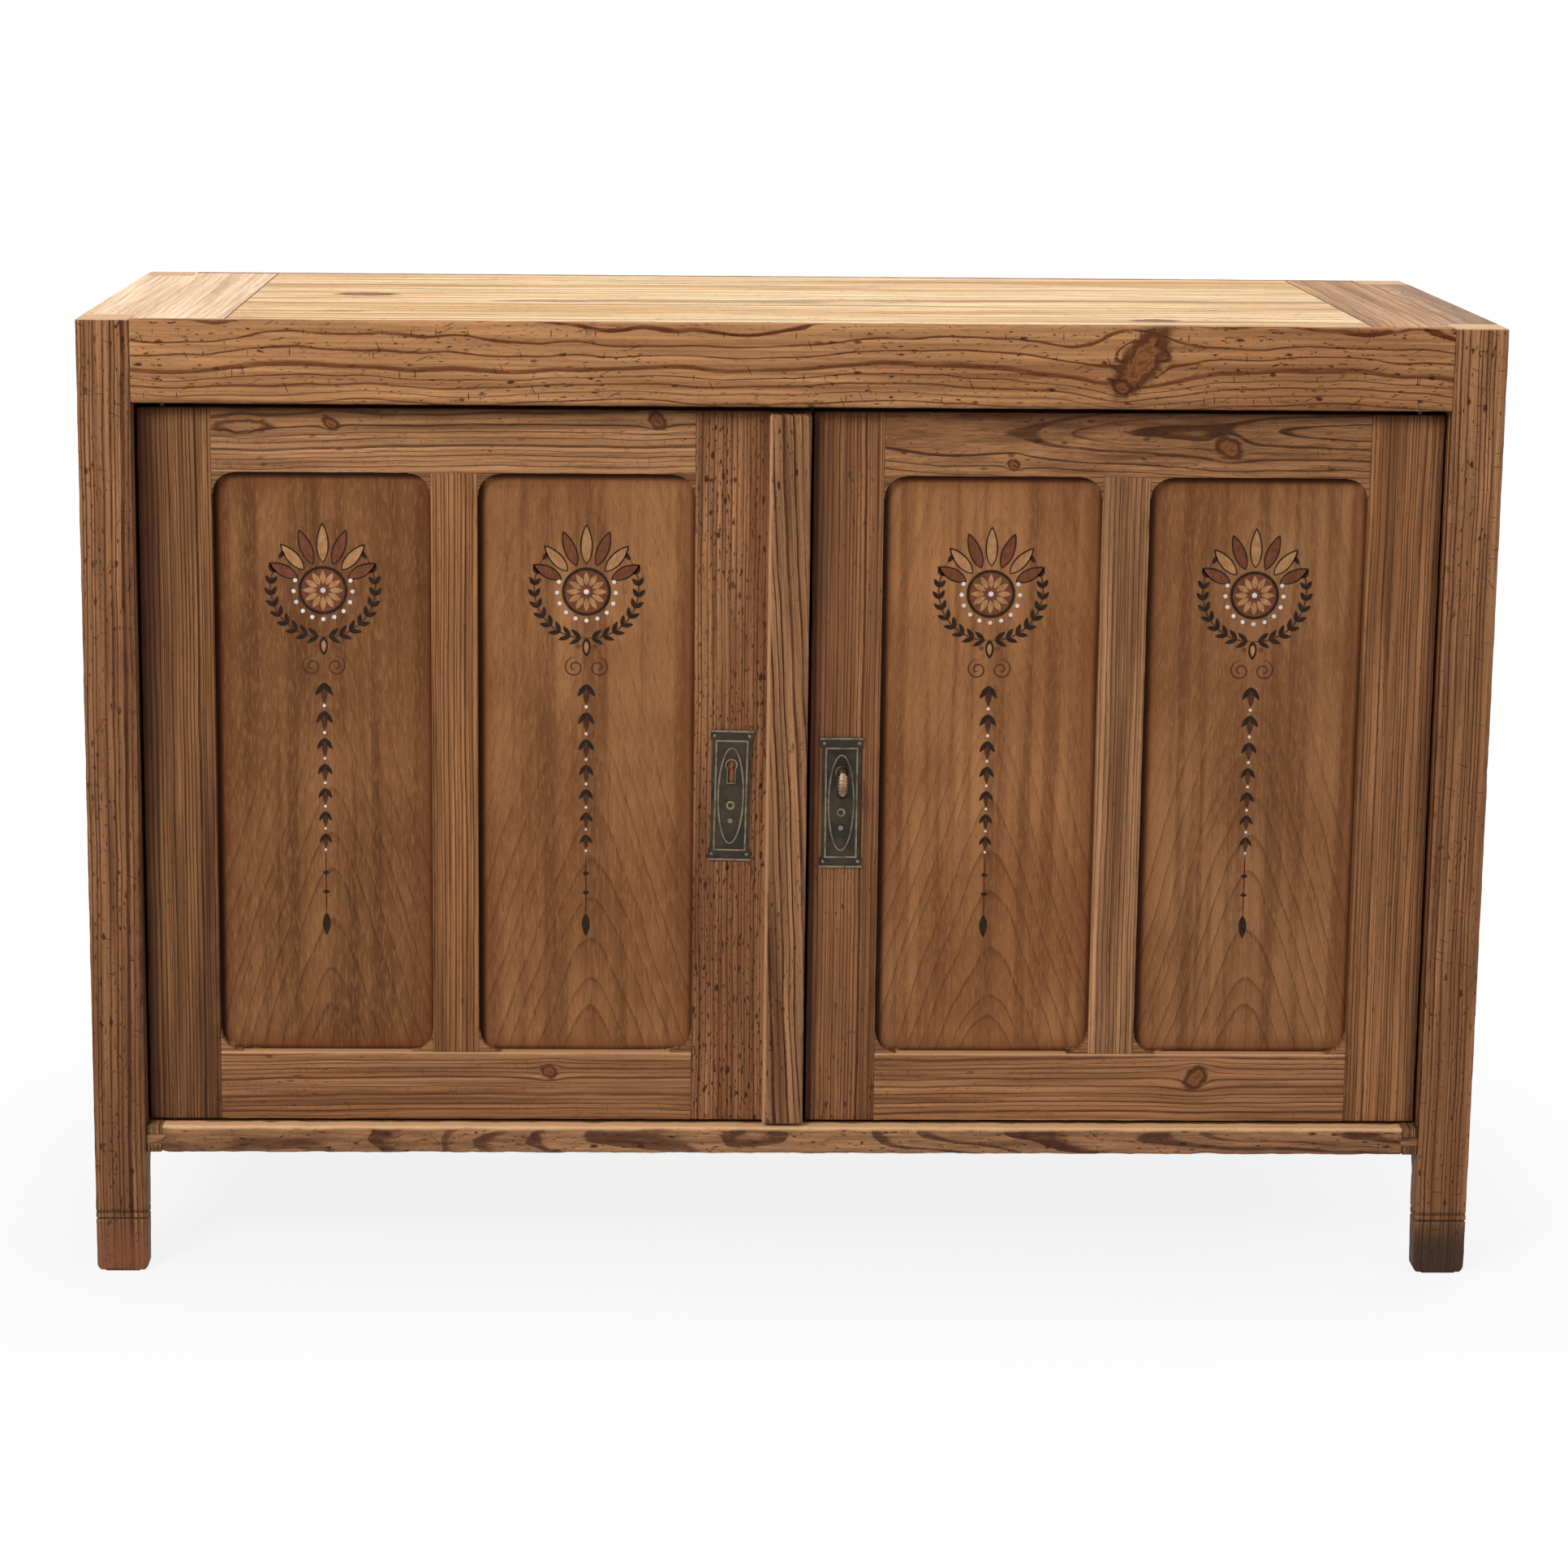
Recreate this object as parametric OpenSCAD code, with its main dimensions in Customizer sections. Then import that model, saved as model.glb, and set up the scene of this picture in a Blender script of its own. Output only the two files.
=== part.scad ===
// Two-door buffet cabinet of old pine: four posts, a front beam, framed doors on
// pivot pins, a comb-jointed base frame, a planked top and one shelf.
// Millimetres. X is the width, Y runs from front to back, Z is up. The origin is
// the bottom centre of the whole cabinet, its key included.

/* [Cabinet] */
// Width over the posts
cab_w = 1400; // [1200:10:1700]
// Depth over the posts
cab_d = 500; // [440:10:600]
// Height of the posts
cab_h = 975; // [880:5:1100]

/* [Posts] */
// Width of a post, seen from the front
post_w = 52; // [46:1:64]
// Depth of a post
post_d = 45; // [42:1:56]
// Depth of a foot at the floor
foot_d = 21; // [16:1:25]
// Depth of a foot below its cove
foot_top_d = 29; // [26:1:36]
// Height of the cove behind a foot
cove_h = 30; // [20:1:40]
// Radius of a foot's bottom corners
foot_r = 8; // [4:1:12]
// Height of the upper scribed line round a foot
scribe_z = 63; // [40:1:90]
// Distance between the two scribed lines
scribe_gap = 7; // [4:1:12]
// Width and depth of a scribed line
scribe_cut = 1; // [0.6:0.2:1.6]

/* [Top] */
// Height of the front beam
beam_h = 82; // [74:1:100]
// Thickness of the front beam and of the rear one
beam_t = 40; // [36:1:48]
// Thickness of the top boards
top_t = 24; // [18:1:28]
// Width of the beam's lip in front of the top boards
top_lip = 12; // [8:1:16]
// Width of the left end board
end_w_left = 144; // [110:2:180]
// Width of the right end board
end_w_right = 132; // [110:2:180]
// Width of a bearer under the top
bearer_w = 44; // [36:2:60]
// Height of a bearer under the top
bearer_h = 25; // [20:1:30]

/* [Sides and back] */
// Thickness of a side rail
side_rail_t = 24; // [20:1:26]
// Distance of the side rails from the posts' outer faces
side_set = 12; // [8:1:16]
// Height of the bottom side rail
side_rail_h = 71; // [50:1:100]
// Thickness of the boards that line a side
side_board_t = 16; // [12:1:18]
// Thickness of the back boards
back_t = 12; // [9:1:15]
// Distance of the back boards from the posts' rear faces
back_set = 14; // [11:1:18]
// Thickness of the rear bottom rail
rear_rail_t = 24; // [20:1:30]
// Height of the rear bottom rail
rear_rail_h = 60; // [45:1:80]

/* [Base frame] */
// Height of the base frame's top above the floor
base_top = 154; // [140:1:180]
// Height of the base frame's members
base_h = 28; // [26:1:36]
// Thickness of the base frame's members
base_t = 16; // [14:1:20]
// Distance of the base frame behind the posts' front faces
base_set = 4; // [0:1:8]
// Thickness of the bottom boards
floor_t = 16; // [14:1:18]
// Diameter of the pegs that hold the base frame to the posts
peg_d = 8; // [6:0.5:9]

/* [Shelf] */
// Height of the shelf's underside
shelf_z = 540; // [440:5:620]
// Thickness of the shelf
shelf_t = 18; // [14:1:24]
// Distance of the shelf behind the posts' front faces
shelf_set = 82; // [74:1:120]
// Width and height of a shelf cleat
cleat = 20; // [16:1:26]

/* [Doors] */
// Distance of the doors behind the posts' front faces
door_set = 18; // [16:1:20]
// Thickness of a door frame
door_t = 21; // [20:0.5:24]
// Gap between a door and the post and the base
door_gap = 3; // [2.5:0.5:4]
// Gap between a door and the beam, which the beam's face half hides
head_gap = 6; // [3:0.5:8]
// Gap between the two doors
meet_gap = 3; // [2:0.5:4]
// Place of the left door's free edge, right of the centre
meet_x = 18; // [10:1:26]
// Width of a hinge stile
stile_w = 72; // [60:1:90]
// Width of the right door's lock stile
lock_stile_w = 70; // [64:1:90]
// Height of a door's top rail
rail_top_h = 64; // [55:1:90]
// Height of a door's bottom rail
rail_bottom_h = 71; // [60:1:90]
// Width of the upright between two panels
muntin_w = 46; // [36:1:60]
// Thickness of a panel
panel_t = 7; // [6:0.5:8]
// Distance of a panel behind the face of its frame
panel_set = 10; // [8:0.5:11]
// Depth of the grooves that hold the panels
groove_d = 8; // [6:0.5:10]
// Radius of the rounded panel corners
corner_r = 21; // [14:1:30]
// Distance of the corner blocks behind the face of the frame
corner_set = 1; // [0.5:0.5:3]
// Wood left between a tenon and the pivot pin
tenon_wall = 5; // [3:0.5:8]

/* [Cover strip] */
// Width of the strip on the left door
strip_w = 41; // [34:1:50]
// Thickness of the strip
strip_t = 14; // [10:1:15]

/* [Pivots] */
// Distance of a pivot from the door's outer edge
pivot_in = 24; // [18:1:30]
// Distance of a pivot behind the face of the door
pivot_back = 8; // [7:0.5:10]
// Diameter of a pivot pin
pin_d = 6; // [5:0.5:7]
// Length of a pivot pin inside the door
pin_in = 30; // [20:1:40]
// Length of a pivot pin inside its bush
pin_out = 9; // [6:0.5:10]
// Outer diameter of a bush
bush_d = 10; // [9:0.5:12]

/* [Lock plates] */
// Width of a lock plate over its end bars
plate_w = 43; // [38:1:50]
// Height of a lock plate
plate_h = 134; // [120:1:150]
// Thickness of a lock plate
plate_t = 1.6; // [1.2:0.2:2.4]
// Height of the end bars
plate_bar = 10; // [7:0.5:12]
// Lean of the left plate, in degrees
plate_lean = 1; // [0:0.5:3]
// Height of the raised lines above the plate
ridge_h = 1.2; // [0.8:0.2:1.6]
// Width of the raised lines
ridge_w = 1.8; // [1.2:0.2:2.6]
// Height of the left plate's centre above the floor
plate_z = 498; // [470:1:520]
// How much lower the right plate sits
plate_drop = 7; // [0:1:12]
// Distance from the left plate's centre to the edge of the cover strip
plate_left_in = 35; // [28:1:45]
// Distance from the right plate's centre to the free edge of its door
plate_right_in = 32; // [28:1:36]

/* [Lock] */
// Height of the key above the right plate's centre
key_up = 25; // [18:1:30]
// How far the key's bow reaches in front of the door
key_reach = 32; // [28:1:38]
// Diameter of the key's pipe
key_d = 6; // [5:0.5:7]
// Diameter of the lock's drill pin
drill_d = 3; // [2.5:0.1:3.4]
// Height of the key's bow
bow_h = 33; // [26:1:38]
// Reach of the key's bow
bow_w = 21; // [17:1:24]
// Thickness of the key's bow
bow_t = 11; // [8:0.5:12]
// Width of the lock case
case_w = 62; // [54:1:64]
// Height of the lock case
case_h = 84; // [72:1:100]
// Depth of the lock case
case_t = 18; // [16:0.5:20]
// Wall of the lock case
case_wall = 2; // [1.5:0.25:2.5]
// Height of the bolt
bolt_h = 14; // [10:1:18]
// Depth of the bolt
bolt_t = 9; // [7:0.5:10]
// Travel of the bolt
bolt_throw = 12; // [8:0.5:14]

/* [Slide bolt] */
// Diameter of the slide bolt on the left door
rod_d = 8; // [6:0.5:9]
// Length of the slide bolt
rod_len = 150; // [120:5:200]
// Travel of the slide bolt
rod_throw = 14; // [10:1:16]

/* [Fits] */
// Gap round a tenon, a panel edge or a peg
fit = 0.2; // [0.1:0.05:0.3]
// Gap between neighbouring boards
seam = 0.4; // [0.2:0.1:0.8]
// Gap between a pin and its bush, all round
run = 0.05; // [0.03:0.01:0.08]

/* [Hidden] */

$fn = 48;
over = 1;                                   // how far a cut runs past a face

pine = [0.56, 0.40, 0.26];
pine_pale = [0.90, 0.77, 0.55];
pine_dark = [0.44, 0.31, 0.20];
veneer = [0.48, 0.32, 0.20];
bronze = [0.30, 0.27, 0.22];
brass = [0.72, 0.60, 0.36];
iron = [0.25, 0.24, 0.23];

// The key stands in front of the posts, so the posts' front plane lies at front_y
key_proud = key_reach - door_set;
front_y = (key_proud - cab_d) / 2;
back_y = front_y + cab_d;
mid_y = front_y + cab_d / 2;
half_w = cab_w / 2;
inner_x = half_w - post_w;                  // inner faces of the posts
beam_z = cab_h - beam_h;                    // underside of the beams
deck_z = cab_h - top_t;                     // underside of the top boards

// Frame joints
tenon_t = 12;                               // thickness of the frame's tenons
tenon_l = 28;                               // their length across the width
side_tenon_l = 16;                          // their length along the depth
shoulder = 8;                               // step above and below a tenon
tip_gap = 1;                                // room left past the end of a tenon or a peg
beam_tenon_y = front_y + (beam_t - tenon_t) / 2;
rear_tenon_y = back_y - (beam_t + tenon_t) / 2;
bearer_tenon = 12;                          // length of a bearer's tenons
bearer_side = 6;                            // step beside a bearer's tenon
bearer_step = 4;                            // step above and below it

// Sides, back and base
side_out = half_w - side_set;               // outer faces of the side rails
side_in = side_out - side_rail_t;
side_tenon_x = (side_out + side_in - tenon_t) / 2;
wall_x = side_in - side_board_t;            // inner faces of the sides' lining
base_z = base_top - base_h;
base_y0 = front_y + base_set;
base_y1 = back_y - base_set;
base_in = inner_x - base_t;                 // inner faces of the side members
side_z = base_z;                            // lower edge of the sides
peg_in = 16;                                // how deep a peg sits in its post
peg_y = base_y0 + base_t + peg_d;
peg_z = base_top - base_h / 2;
back_y1 = back_y - back_set;
back_y0 = back_y1 - back_t;
rear_rail_y1 = back_y0 + (back_t + rear_rail_t) / 2;
rear_rail_y0 = rear_rail_y1 - rear_rail_t;
rear_rail_top = base_top + rear_rail_h;
side_room = cab_d - 2 * post_d;

// Doors
door_y0 = front_y + door_set;               // faces of the doors
door_y1 = door_y0 + door_t;
door_z0 = base_top + door_gap;
door_z1 = beam_z - head_gap;
leaf_x = inner_x - door_gap;                // outer edges of the doors
open_z0 = door_z0 + rail_bottom_h;          // the panels' openings
open_z1 = door_z1 - rail_top_h;
panel_y0 = door_y0 + panel_set;
panel_y1 = panel_y0 + panel_t;
cover_w = strip_w + seam;                   // what the strip hides of the left door
door_tenon = stile_w - pivot_in - pin_d / 2 - tenon_wall;

// Pivots
pivot_x = leaf_x - pivot_in;
pivot_y = door_y0 + pivot_back;
swing_r = norm([pivot_in, door_t - pivot_back]);
stop_gap = 0.5;                             // between a closed door and its stop
stop_y = max(door_y1 + stop_gap, front_y + beam_t);
stop_t = 20;
stop_lap = 21;                              // how far it stands behind the doors
stop_z = door_z1 - stop_lap;
stop_top = deck_z - bearer_h - seam;
stop_x = pivot_x - swing_r - 2;             // clear of the turning door's corner
bush_l = pin_out + 3;
collar_h = door_gap - 0.3;                  // the door rests on it, just clear of the base
collar_d = bush_d + 2;

// Plates and lock
plate_left_x = meet_x - strip_w - plate_left_in;
plate_right_x = meet_x + meet_gap + plate_right_in;
plate_right_z = plate_z - plate_drop;
plate_face = door_y0 - plate_t;
key_x = plate_right_x;
key_z = plate_right_z + key_up;
hole_d = 10;                                // round part of a keyhole
slot_w = key_d + 1;                         // its slot
case_x0 = meet_x + meet_gap + 2;
case_x1 = case_x0 + case_w;
case_z0 = key_z - case_h * 0.4;
case_z1 = case_z0 + case_h;
case_y1 = door_y1 + case_t;
bit_r = 9.5;                                // reach of the key's bit
bolt_off = 4;                               // of the lock bolt and the slide bolt from the door
bolt_z0 = key_z + bit_r + 0.5;
bolt_y0 = door_y1 + bolt_off;
bolt_l = case_w * 0.7;
bolt_tip = case_x0 + 0.5;
guide_t = 2;                                // guides under and over the bolt
guide_in = 8;                               // from the case's edge
guide_w = 10;
keep_wall = 4;                              // wall of the keeper
keep_play = 1;                              // gap round the bolt inside it

// Slide bolt on the left door's inner face
rod_x = meet_x - strip_w / 2 - 12;
rod_y = door_y1 + bolt_off + rod_d / 2;
rod_z1 = stop_z - 1.5;
rod_z0 = rod_z1 - rod_len;
rod_play = 0.75;                            // gap round the bolt in the stop rail's hole
staple_h = 12;
staple_wall = 2.5;
staple_down = 30;                           // the upper staple, below the bolt's tip

// A block between two corners, given in any order along X
module block(xa, xb, ya, yb, za, zb)
    translate([min(xa, xb), ya, za]) cube([abs(xb - xa), yb - ya, zb - za]);

// A flat shape in X and Z, thick from ya to yb
module plate(ya, yb) translate([0, yb, 0]) rotate([90, 0, 0]) linear_extrude(yb - ya) children();

// A round bar along Z, Y or X
module bar_z(x, y, za, zb, d) translate([x, y, za]) cylinder(d = d, h = zb - za);
module bar_y(x, z, ya, yb, d) translate([x, ya, z]) rotate([-90, 0, 0]) cylinder(d = d, h = yb - ya);
module bar_x(xa, xb, y, z, d)
    translate([min(xa, xb), y, z]) rotate([0, 90, 0]) cylinder(d = d, h = abs(xb - xa));

module flip_x(on) { if (on) mirror([1, 0, 0]) children(); else children(); }
module flip_y(on) {
    if (on) translate([0, 2 * mid_y, 0]) mirror([0, 1, 0]) children(); else children();
}

module oval(w, h, sides = 40)
    polygon([for (i = [0:sides - 1]) [w / 2 * cos(360 * i / sides), h / 2 * sin(360 * i / sides)]]);

// Boards side by side along Y, with a seam at each cut, given as shares of the depth
function even_cuts(count) = [for (i = [0:count]) i / count];

module planks(xa, xb, ya, yb, cuts, za, zb)
    for (i = [1:len(cuts) - 1])
        block(xa, xb, ya + (yb - ya) * cuts[i - 1] + (i > 1 ? seam / 2 : 0),
            ya + (yb - ya) * cuts[i] - (i < len(cuts) - 1 ? seam / 2 : 0), za, zb);

// Posts. Seen from the side, a foot tapers, and a cove leads to the full depth under the base frame.
module post_side(steps = 8)
    polygon(concat([[0, 0], [foot_d, 0]],
        [for (i = [0:steps]) [post_d - (post_d - foot_top_d) * cos(90 * i / steps),
            base_z - cove_h + cove_h * sin(90 * i / steps)]],
        [[post_d, cab_h], [0, cab_h]]));

module post_front() {
    translate([0, foot_r]) square([post_w, cab_h - foot_r]);
    translate([foot_r, 0]) square([post_w - 2 * foot_r, foot_r]);
    for (x = [foot_r, post_w - foot_r]) translate([x, foot_r]) circle(foot_r);
}

module scribe_ring(z) difference() {
    translate([-over, -over, z]) cube([post_w + 2 * over, post_d + over, scribe_cut]);
    translate([scribe_cut, scribe_cut, z - over])
        cube([post_w - 2 * scribe_cut, post_d, scribe_cut + 2 * over]);
}

// The left front post, with its mortises, in its place
module front_post_blank() difference() {
    translate([-half_w, front_y, 0]) intersection() {
        rotate([90, 0, 90]) linear_extrude(post_w) post_side();
        translate([0, post_d, 0]) rotate([90, 0, 0]) linear_extrude(post_d) post_front();
    }
    for (z = [scribe_z, scribe_z - scribe_gap]) translate([-half_w, front_y, 0]) scribe_ring(z);
    // mortises for the side rails
    for (zs = [[side_z, side_z + side_rail_h], [beam_z, deck_z]])
        block(-side_tenon_x - tenon_t - fit, -side_tenon_x + fit,
            front_y + post_d - side_tenon_l - tip_gap, front_y + post_d + over,
            zs[0] + shoulder - fit, zs[1] - shoulder + fit);
    // hole for the base frame's peg
    bar_x(-inner_x - peg_in - tip_gap, -inner_x + over, peg_y, peg_z, peg_d + 2 * fit);
}

module beam_mortise(y)
    block(-inner_x - tenon_l - tip_gap, -inner_x + over, y - fit, y + tenon_t + fit,
        beam_z + shoulder - fit, deck_z - shoulder + fit);

module post_front_one(right) color(pine) flip_x(right) difference() {
    front_post_blank();
    beam_mortise(beam_tenon_y);
}

module post_rear_one(right) color(pine) flip_x(right) difference() {
    flip_y(true) front_post_blank();
    beam_mortise(rear_tenon_y);
    // groove for the back boards, and the mortise of the rear bottom rail
    block(-inner_x - groove_d - fit, -inner_x + over, back_y0 - fit, back_y1 + fit,
        rear_rail_top - groove_d, beam_z + groove_d);
    block(-inner_x - tenon_l - tip_gap, -inner_x + over, back_y0 - fit, back_y1 + fit,
        base_top + shoulder - fit, rear_rail_top - shoulder - groove_d + fit);
}

// Front beam and rear top rail: a lip in front of the boards, tenons at the ends
bearer_places = [-half_w + end_w_left, (end_w_left - end_w_right) / 2, half_w - end_w_right];

module long_rail(tenon_y) difference() {
    union() {
        block(-inner_x, inner_x, front_y, front_y + beam_t, beam_z, deck_z);
        block(-inner_x, inner_x, front_y, front_y + top_lip, deck_z, cab_h);
        block(-inner_x - tenon_l, inner_x + tenon_l, tenon_y, tenon_y + tenon_t,
            beam_z + shoulder, deck_z - shoulder);
    }
    for (x = bearer_places)
        block(x - bearer_w / 2 + bearer_side - fit, x + bearer_w / 2 - bearer_side + fit,
            front_y + beam_t - bearer_tenon - fit, front_y + beam_t + over,
            deck_z - bearer_h + bearer_step - fit, deck_z - bearer_step + fit);
}

module front_beam() color(pine) difference() {
    long_rail(beam_tenon_y);
    for (s = [-1, 1]) bar_z(s * pivot_x, pivot_y, beam_z - over, beam_z + bush_l, bush_d);
}

module rear_top_rail() color(pine) difference() {
    flip_y(true) long_rail(2 * mid_y - rear_tenon_y - tenon_t);
    block(-inner_x, inner_x, back_y0 - fit, back_y1 + fit, beam_z - over, beam_z + groove_d + fit);
}

// Sides
module side_rail(right, za, zb) color(pine) flip_x(right) {
    block(-side_out, -side_in, front_y + post_d, back_y - post_d, za, zb);
    block(-side_tenon_x - tenon_t, -side_tenon_x, front_y + post_d - side_tenon_l,
        back_y - post_d + side_tenon_l, za + shoulder, zb - shoulder);
}

module side_boards(right, count = 3) color(pine_dark) flip_x(right)
    for (i = [0:count - 1])
        block(-side_in, -side_in + side_board_t, front_y + post_d + side_room * i / count + seam / 2,
            front_y + post_d + side_room * (i + 1) / count - seam / 2, side_z, deck_z);

// Back
module rear_bottom_rail() color(pine) difference() {
    union() {
        block(-inner_x, inner_x, rear_rail_y0, rear_rail_y1, base_top, rear_rail_top);
        block(-inner_x - tenon_l, inner_x + tenon_l, back_y0, back_y1,
            base_top + shoulder, rear_rail_top - shoulder - groove_d);
    }
    block(-inner_x - over, inner_x + over, back_y0 - fit, back_y1 + fit,
        rear_rail_top - groove_d - fit, rear_rail_top + over);
}

module back_boards(count = 8) color(pine_dark) {
    span = 2 * (inner_x + groove_d);
    for (i = [0:count - 1])
        block(-span / 2 + span * i / count + seam / 2, -span / 2 + span * (i + 1) / count - seam / 2,
            back_y0, back_y1, rear_rail_top - groove_d, beam_z + groove_d);
}

// Base frame: each side member ends in two prongs that hold the rail's tongue
prong_h = base_h / 3;

module base_rail() {
    block(-base_in, base_in, base_y0, base_y0 + base_t, base_z, base_top);
    block(-inner_x, inner_x, base_y0, base_y0 + base_t, base_z + prong_h, base_top - prong_h);
}

module base_front_rail() color(pine) base_rail();
module base_rear_rail() color(pine) flip_y(true) base_rail();

module base_side(right) color(pine) flip_x(right) difference() {
    block(-inner_x, -base_in, base_y0, base_y1, base_z, base_top);
    for (f = [false, true]) flip_y(f) {
        block(-inner_x - over, -base_in + over, base_y0 - over, base_y0 + base_t,
            base_z + prong_h, base_top - prong_h);
        bar_x(-inner_x - over, -base_in + over, peg_y, peg_z, peg_d + 2 * fit);
    }
}

module base_pegs() color(pine_pale)
    for (r = [false, true], f = [false, true]) flip_x(r) flip_y(f)
        bar_x(-inner_x - peg_in, -base_in, peg_y, peg_z, peg_d);

module bottom_boards(count = 4) color(pine_dark) difference() {
    planks(-base_in, base_in, base_y0 + base_t, base_y1 - base_t, even_cuts(count),
        base_top - floor_t, base_top);
    for (s = [-1, 1]) bar_z(s * pivot_x, pivot_y, base_top - bush_l, base_top + over, bush_d);
}

module bottom_cleats() color(pine) {
    strip = base_h - floor_t;
    y0 = base_y0 + base_t;
    y1 = base_y1 - base_t;
    for (s = [-1, 1])
        block(s * base_in, s * (base_in - strip), y0, y1, base_z, base_z + strip);
    for (y = [y0, y1 - strip])
        block(-base_in + strip, base_in - strip, y, y + strip, base_z, base_z + strip);
    block(-strip, strip, y0 + strip, y1 - strip, base_z, base_z + strip);
}

// Top
module end_board(x0, x1) difference() {
    block(x0, x1, front_y + top_lip, back_y - top_lip, deck_z, cab_h);
    for (f = [false, true]) flip_y(f)
        block(x0 - over * sign(x1 - x0), x0 + (post_w + fit) * sign(x1 - x0), front_y - over,
            front_y + post_d + fit, deck_z - over, cab_h + over);
}

module top_end_board_left() color(pine_pale) end_board(-half_w, -half_w + end_w_left - seam / 2);
module top_end_board_right() color(pine_pale) end_board(half_w, half_w - end_w_right + seam / 2);

// The long planks differ in width
module top_planks(cuts = [0, 0.16, 0.39, 0.60, 0.79, 1]) color(pine_pale)
    planks(-half_w + end_w_left + seam / 2, half_w - end_w_right - seam / 2,
        front_y + top_lip, back_y - top_lip, cuts, deck_z, cab_h);

module top_bearers() color(pine) for (x = bearer_places) {
    block(x - bearer_w / 2, x + bearer_w / 2, front_y + beam_t, back_y - beam_t, deck_z - bearer_h, deck_z);
    block(x - bearer_w / 2 + bearer_side, x + bearer_w / 2 - bearer_side,
        front_y + beam_t - bearer_tenon, back_y - beam_t + bearer_tenon,
        deck_z - bearer_h + bearer_step, deck_z - bearer_step);
}

// Shelf
shelf_y0 = front_y + shelf_set;

module shelf_boards(count = 3) color(pine_dark)
    planks(-wall_x + fit, wall_x - fit, shelf_y0, back_y0 - fit, even_cuts(count),
        shelf_z, shelf_z + shelf_t);

module shelf_cleats() color(pine) {
    for (s = [-1, 1])
        block(s * wall_x, s * (wall_x - cleat), shelf_y0, back_y0, shelf_z - cleat, shelf_z);
    block(-wall_x + cleat, wall_x - cleat, back_y0 - cleat, back_y0, shelf_z - cleat, shelf_z);
}

module shelf_front_rail() color(pine)
    block(-wall_x + cleat, wall_x - cleat, shelf_y0, shelf_y0 + cleat, shelf_z - 2 * cleat, shelf_z);

// Stop behind the doors' top edges, with the hole that takes the slide bolt
module door_stop_rail() color(pine) difference() {
    block(-stop_x, stop_x, stop_y, stop_y + stop_t, stop_z, stop_top);
    bar_z(rod_x, rod_y, stop_z - over, rod_z1 + rod_throw + tip_gap, rod_d + 2 * rod_play);
}

// Doors. side is -1 for the left one and 1 for the right one.
function hinge_in(side) = side * (leaf_x - stile_w);
function lock_out(side) = side < 0 ? meet_x : meet_x + meet_gap;
function lock_in(side) = side < 0 ? meet_x - cover_w - stile_w : meet_x + meet_gap + lock_stile_w;
function muntin_x(side) = (hinge_in(side) + lock_in(side)) / 2;
// Which way is outwards over a stile, seen from the panels
function to_hinge(side) = side;
function to_lock(side) = -side;

tenon_step = groove_d + 2;                  // from a rail's groove to its tenon
door_shoulder = 8;                          // from a rail's outer edge to its tenon

// Groove for the panels, and mortises for both rails, in a stile's inner edge
module stile_cuts(x, out) {
    block(x - out * over, x + out * (groove_d + fit), panel_y0 - fit, panel_y1 + fit,
        open_z0 - groove_d - fit, open_z1 + groove_d + fit);
    for (zs = [[door_z0 + door_shoulder, open_z0 - tenon_step],
            [open_z1 + tenon_step, door_z1 - door_shoulder]])
        block(x - out * over, x + out * (door_tenon + tip_gap), panel_y0 - fit, panel_y1 + fit,
            zs[0] - fit, zs[1] + fit);
}

module hinge_stile(side) color(pine) difference() {
    block(side * leaf_x, hinge_in(side), door_y0, door_y1, door_z0, door_z1);
    stile_cuts(hinge_in(side), to_hinge(side));
    for (zs = [[door_z0 - over, door_z0 + pin_in + tip_gap], [door_z1 - pin_in - tip_gap, door_z1 + over]])
        bar_z(side * pivot_x, pivot_y, zs[0], zs[1], pin_d + 2 * run);
}

module lock_stile(side) color(pine) difference() {
    block(lock_in(side), lock_out(side), door_y0, door_y1, door_z0, door_z1);
    stile_cuts(lock_in(side), to_lock(side));
    if (side > 0) translate([key_x, 0, plate_right_z]) plate(door_y0 - over, door_y1 + over) keyhole();
}

module door_rail(side, za, zb, groove_z, outer_z) color(pine) {
    up = groove_z > outer_z ? 1 : -1;
    tenon_a = outer_z + up * door_shoulder;
    tenon_b = groove_z - up * tenon_step;
    difference() {
        block(hinge_in(side), lock_in(side), door_y0, door_y1, za, zb);
        block(hinge_in(side) + side * over, lock_in(side) - side * over, panel_y0 - fit, panel_y1 + fit,
            min(groove_z + up * over, groove_z - up * (groove_d + fit)),
            max(groove_z + up * over, groove_z - up * (groove_d + fit)));
    }
    for (p = [[hinge_in(side), to_hinge(side)], [lock_in(side), to_lock(side)]])
        block(p[0], p[0] + p[1] * door_tenon, panel_y0, panel_y1,
            min(tenon_a, tenon_b), max(tenon_a, tenon_b));
}

module top_rail(side) door_rail(side, open_z1, door_z1, open_z1, door_z1);
module bottom_rail(side) door_rail(side, door_z0, open_z0, open_z0, door_z0);

module muntin(side) color(pine) difference() {
    x = muntin_x(side);
    union() {
        block(x - muntin_w / 2, x + muntin_w / 2, door_y0, door_y1, open_z0, open_z1);
        block(x - muntin_w / 2, x + muntin_w / 2, panel_y0, panel_y1,
            open_z0 - groove_d, open_z1 + groove_d);
    }
    for (s = [-1, 1])
        block(x + s * (muntin_w / 2 + over), x + s * (muntin_w / 2 - groove_d - fit),
            panel_y0 - fit, panel_y1 + fit, open_z0 - groove_d - over, open_z1 + groove_d + over);
}

module panel(xa, xb) color(veneer)
    block(min(xa, xb) - groove_d + fit, max(xa, xb) + groove_d - fit, panel_y0, panel_y1,
        open_z0 - groove_d + fit, open_z1 + groove_d - fit);

module outer_panel(side) panel(hinge_in(side), muntin_x(side) + side * muntin_w / 2);
module inner_panel(side) panel(lock_in(side), muntin_x(side) - side * muntin_w / 2);

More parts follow.
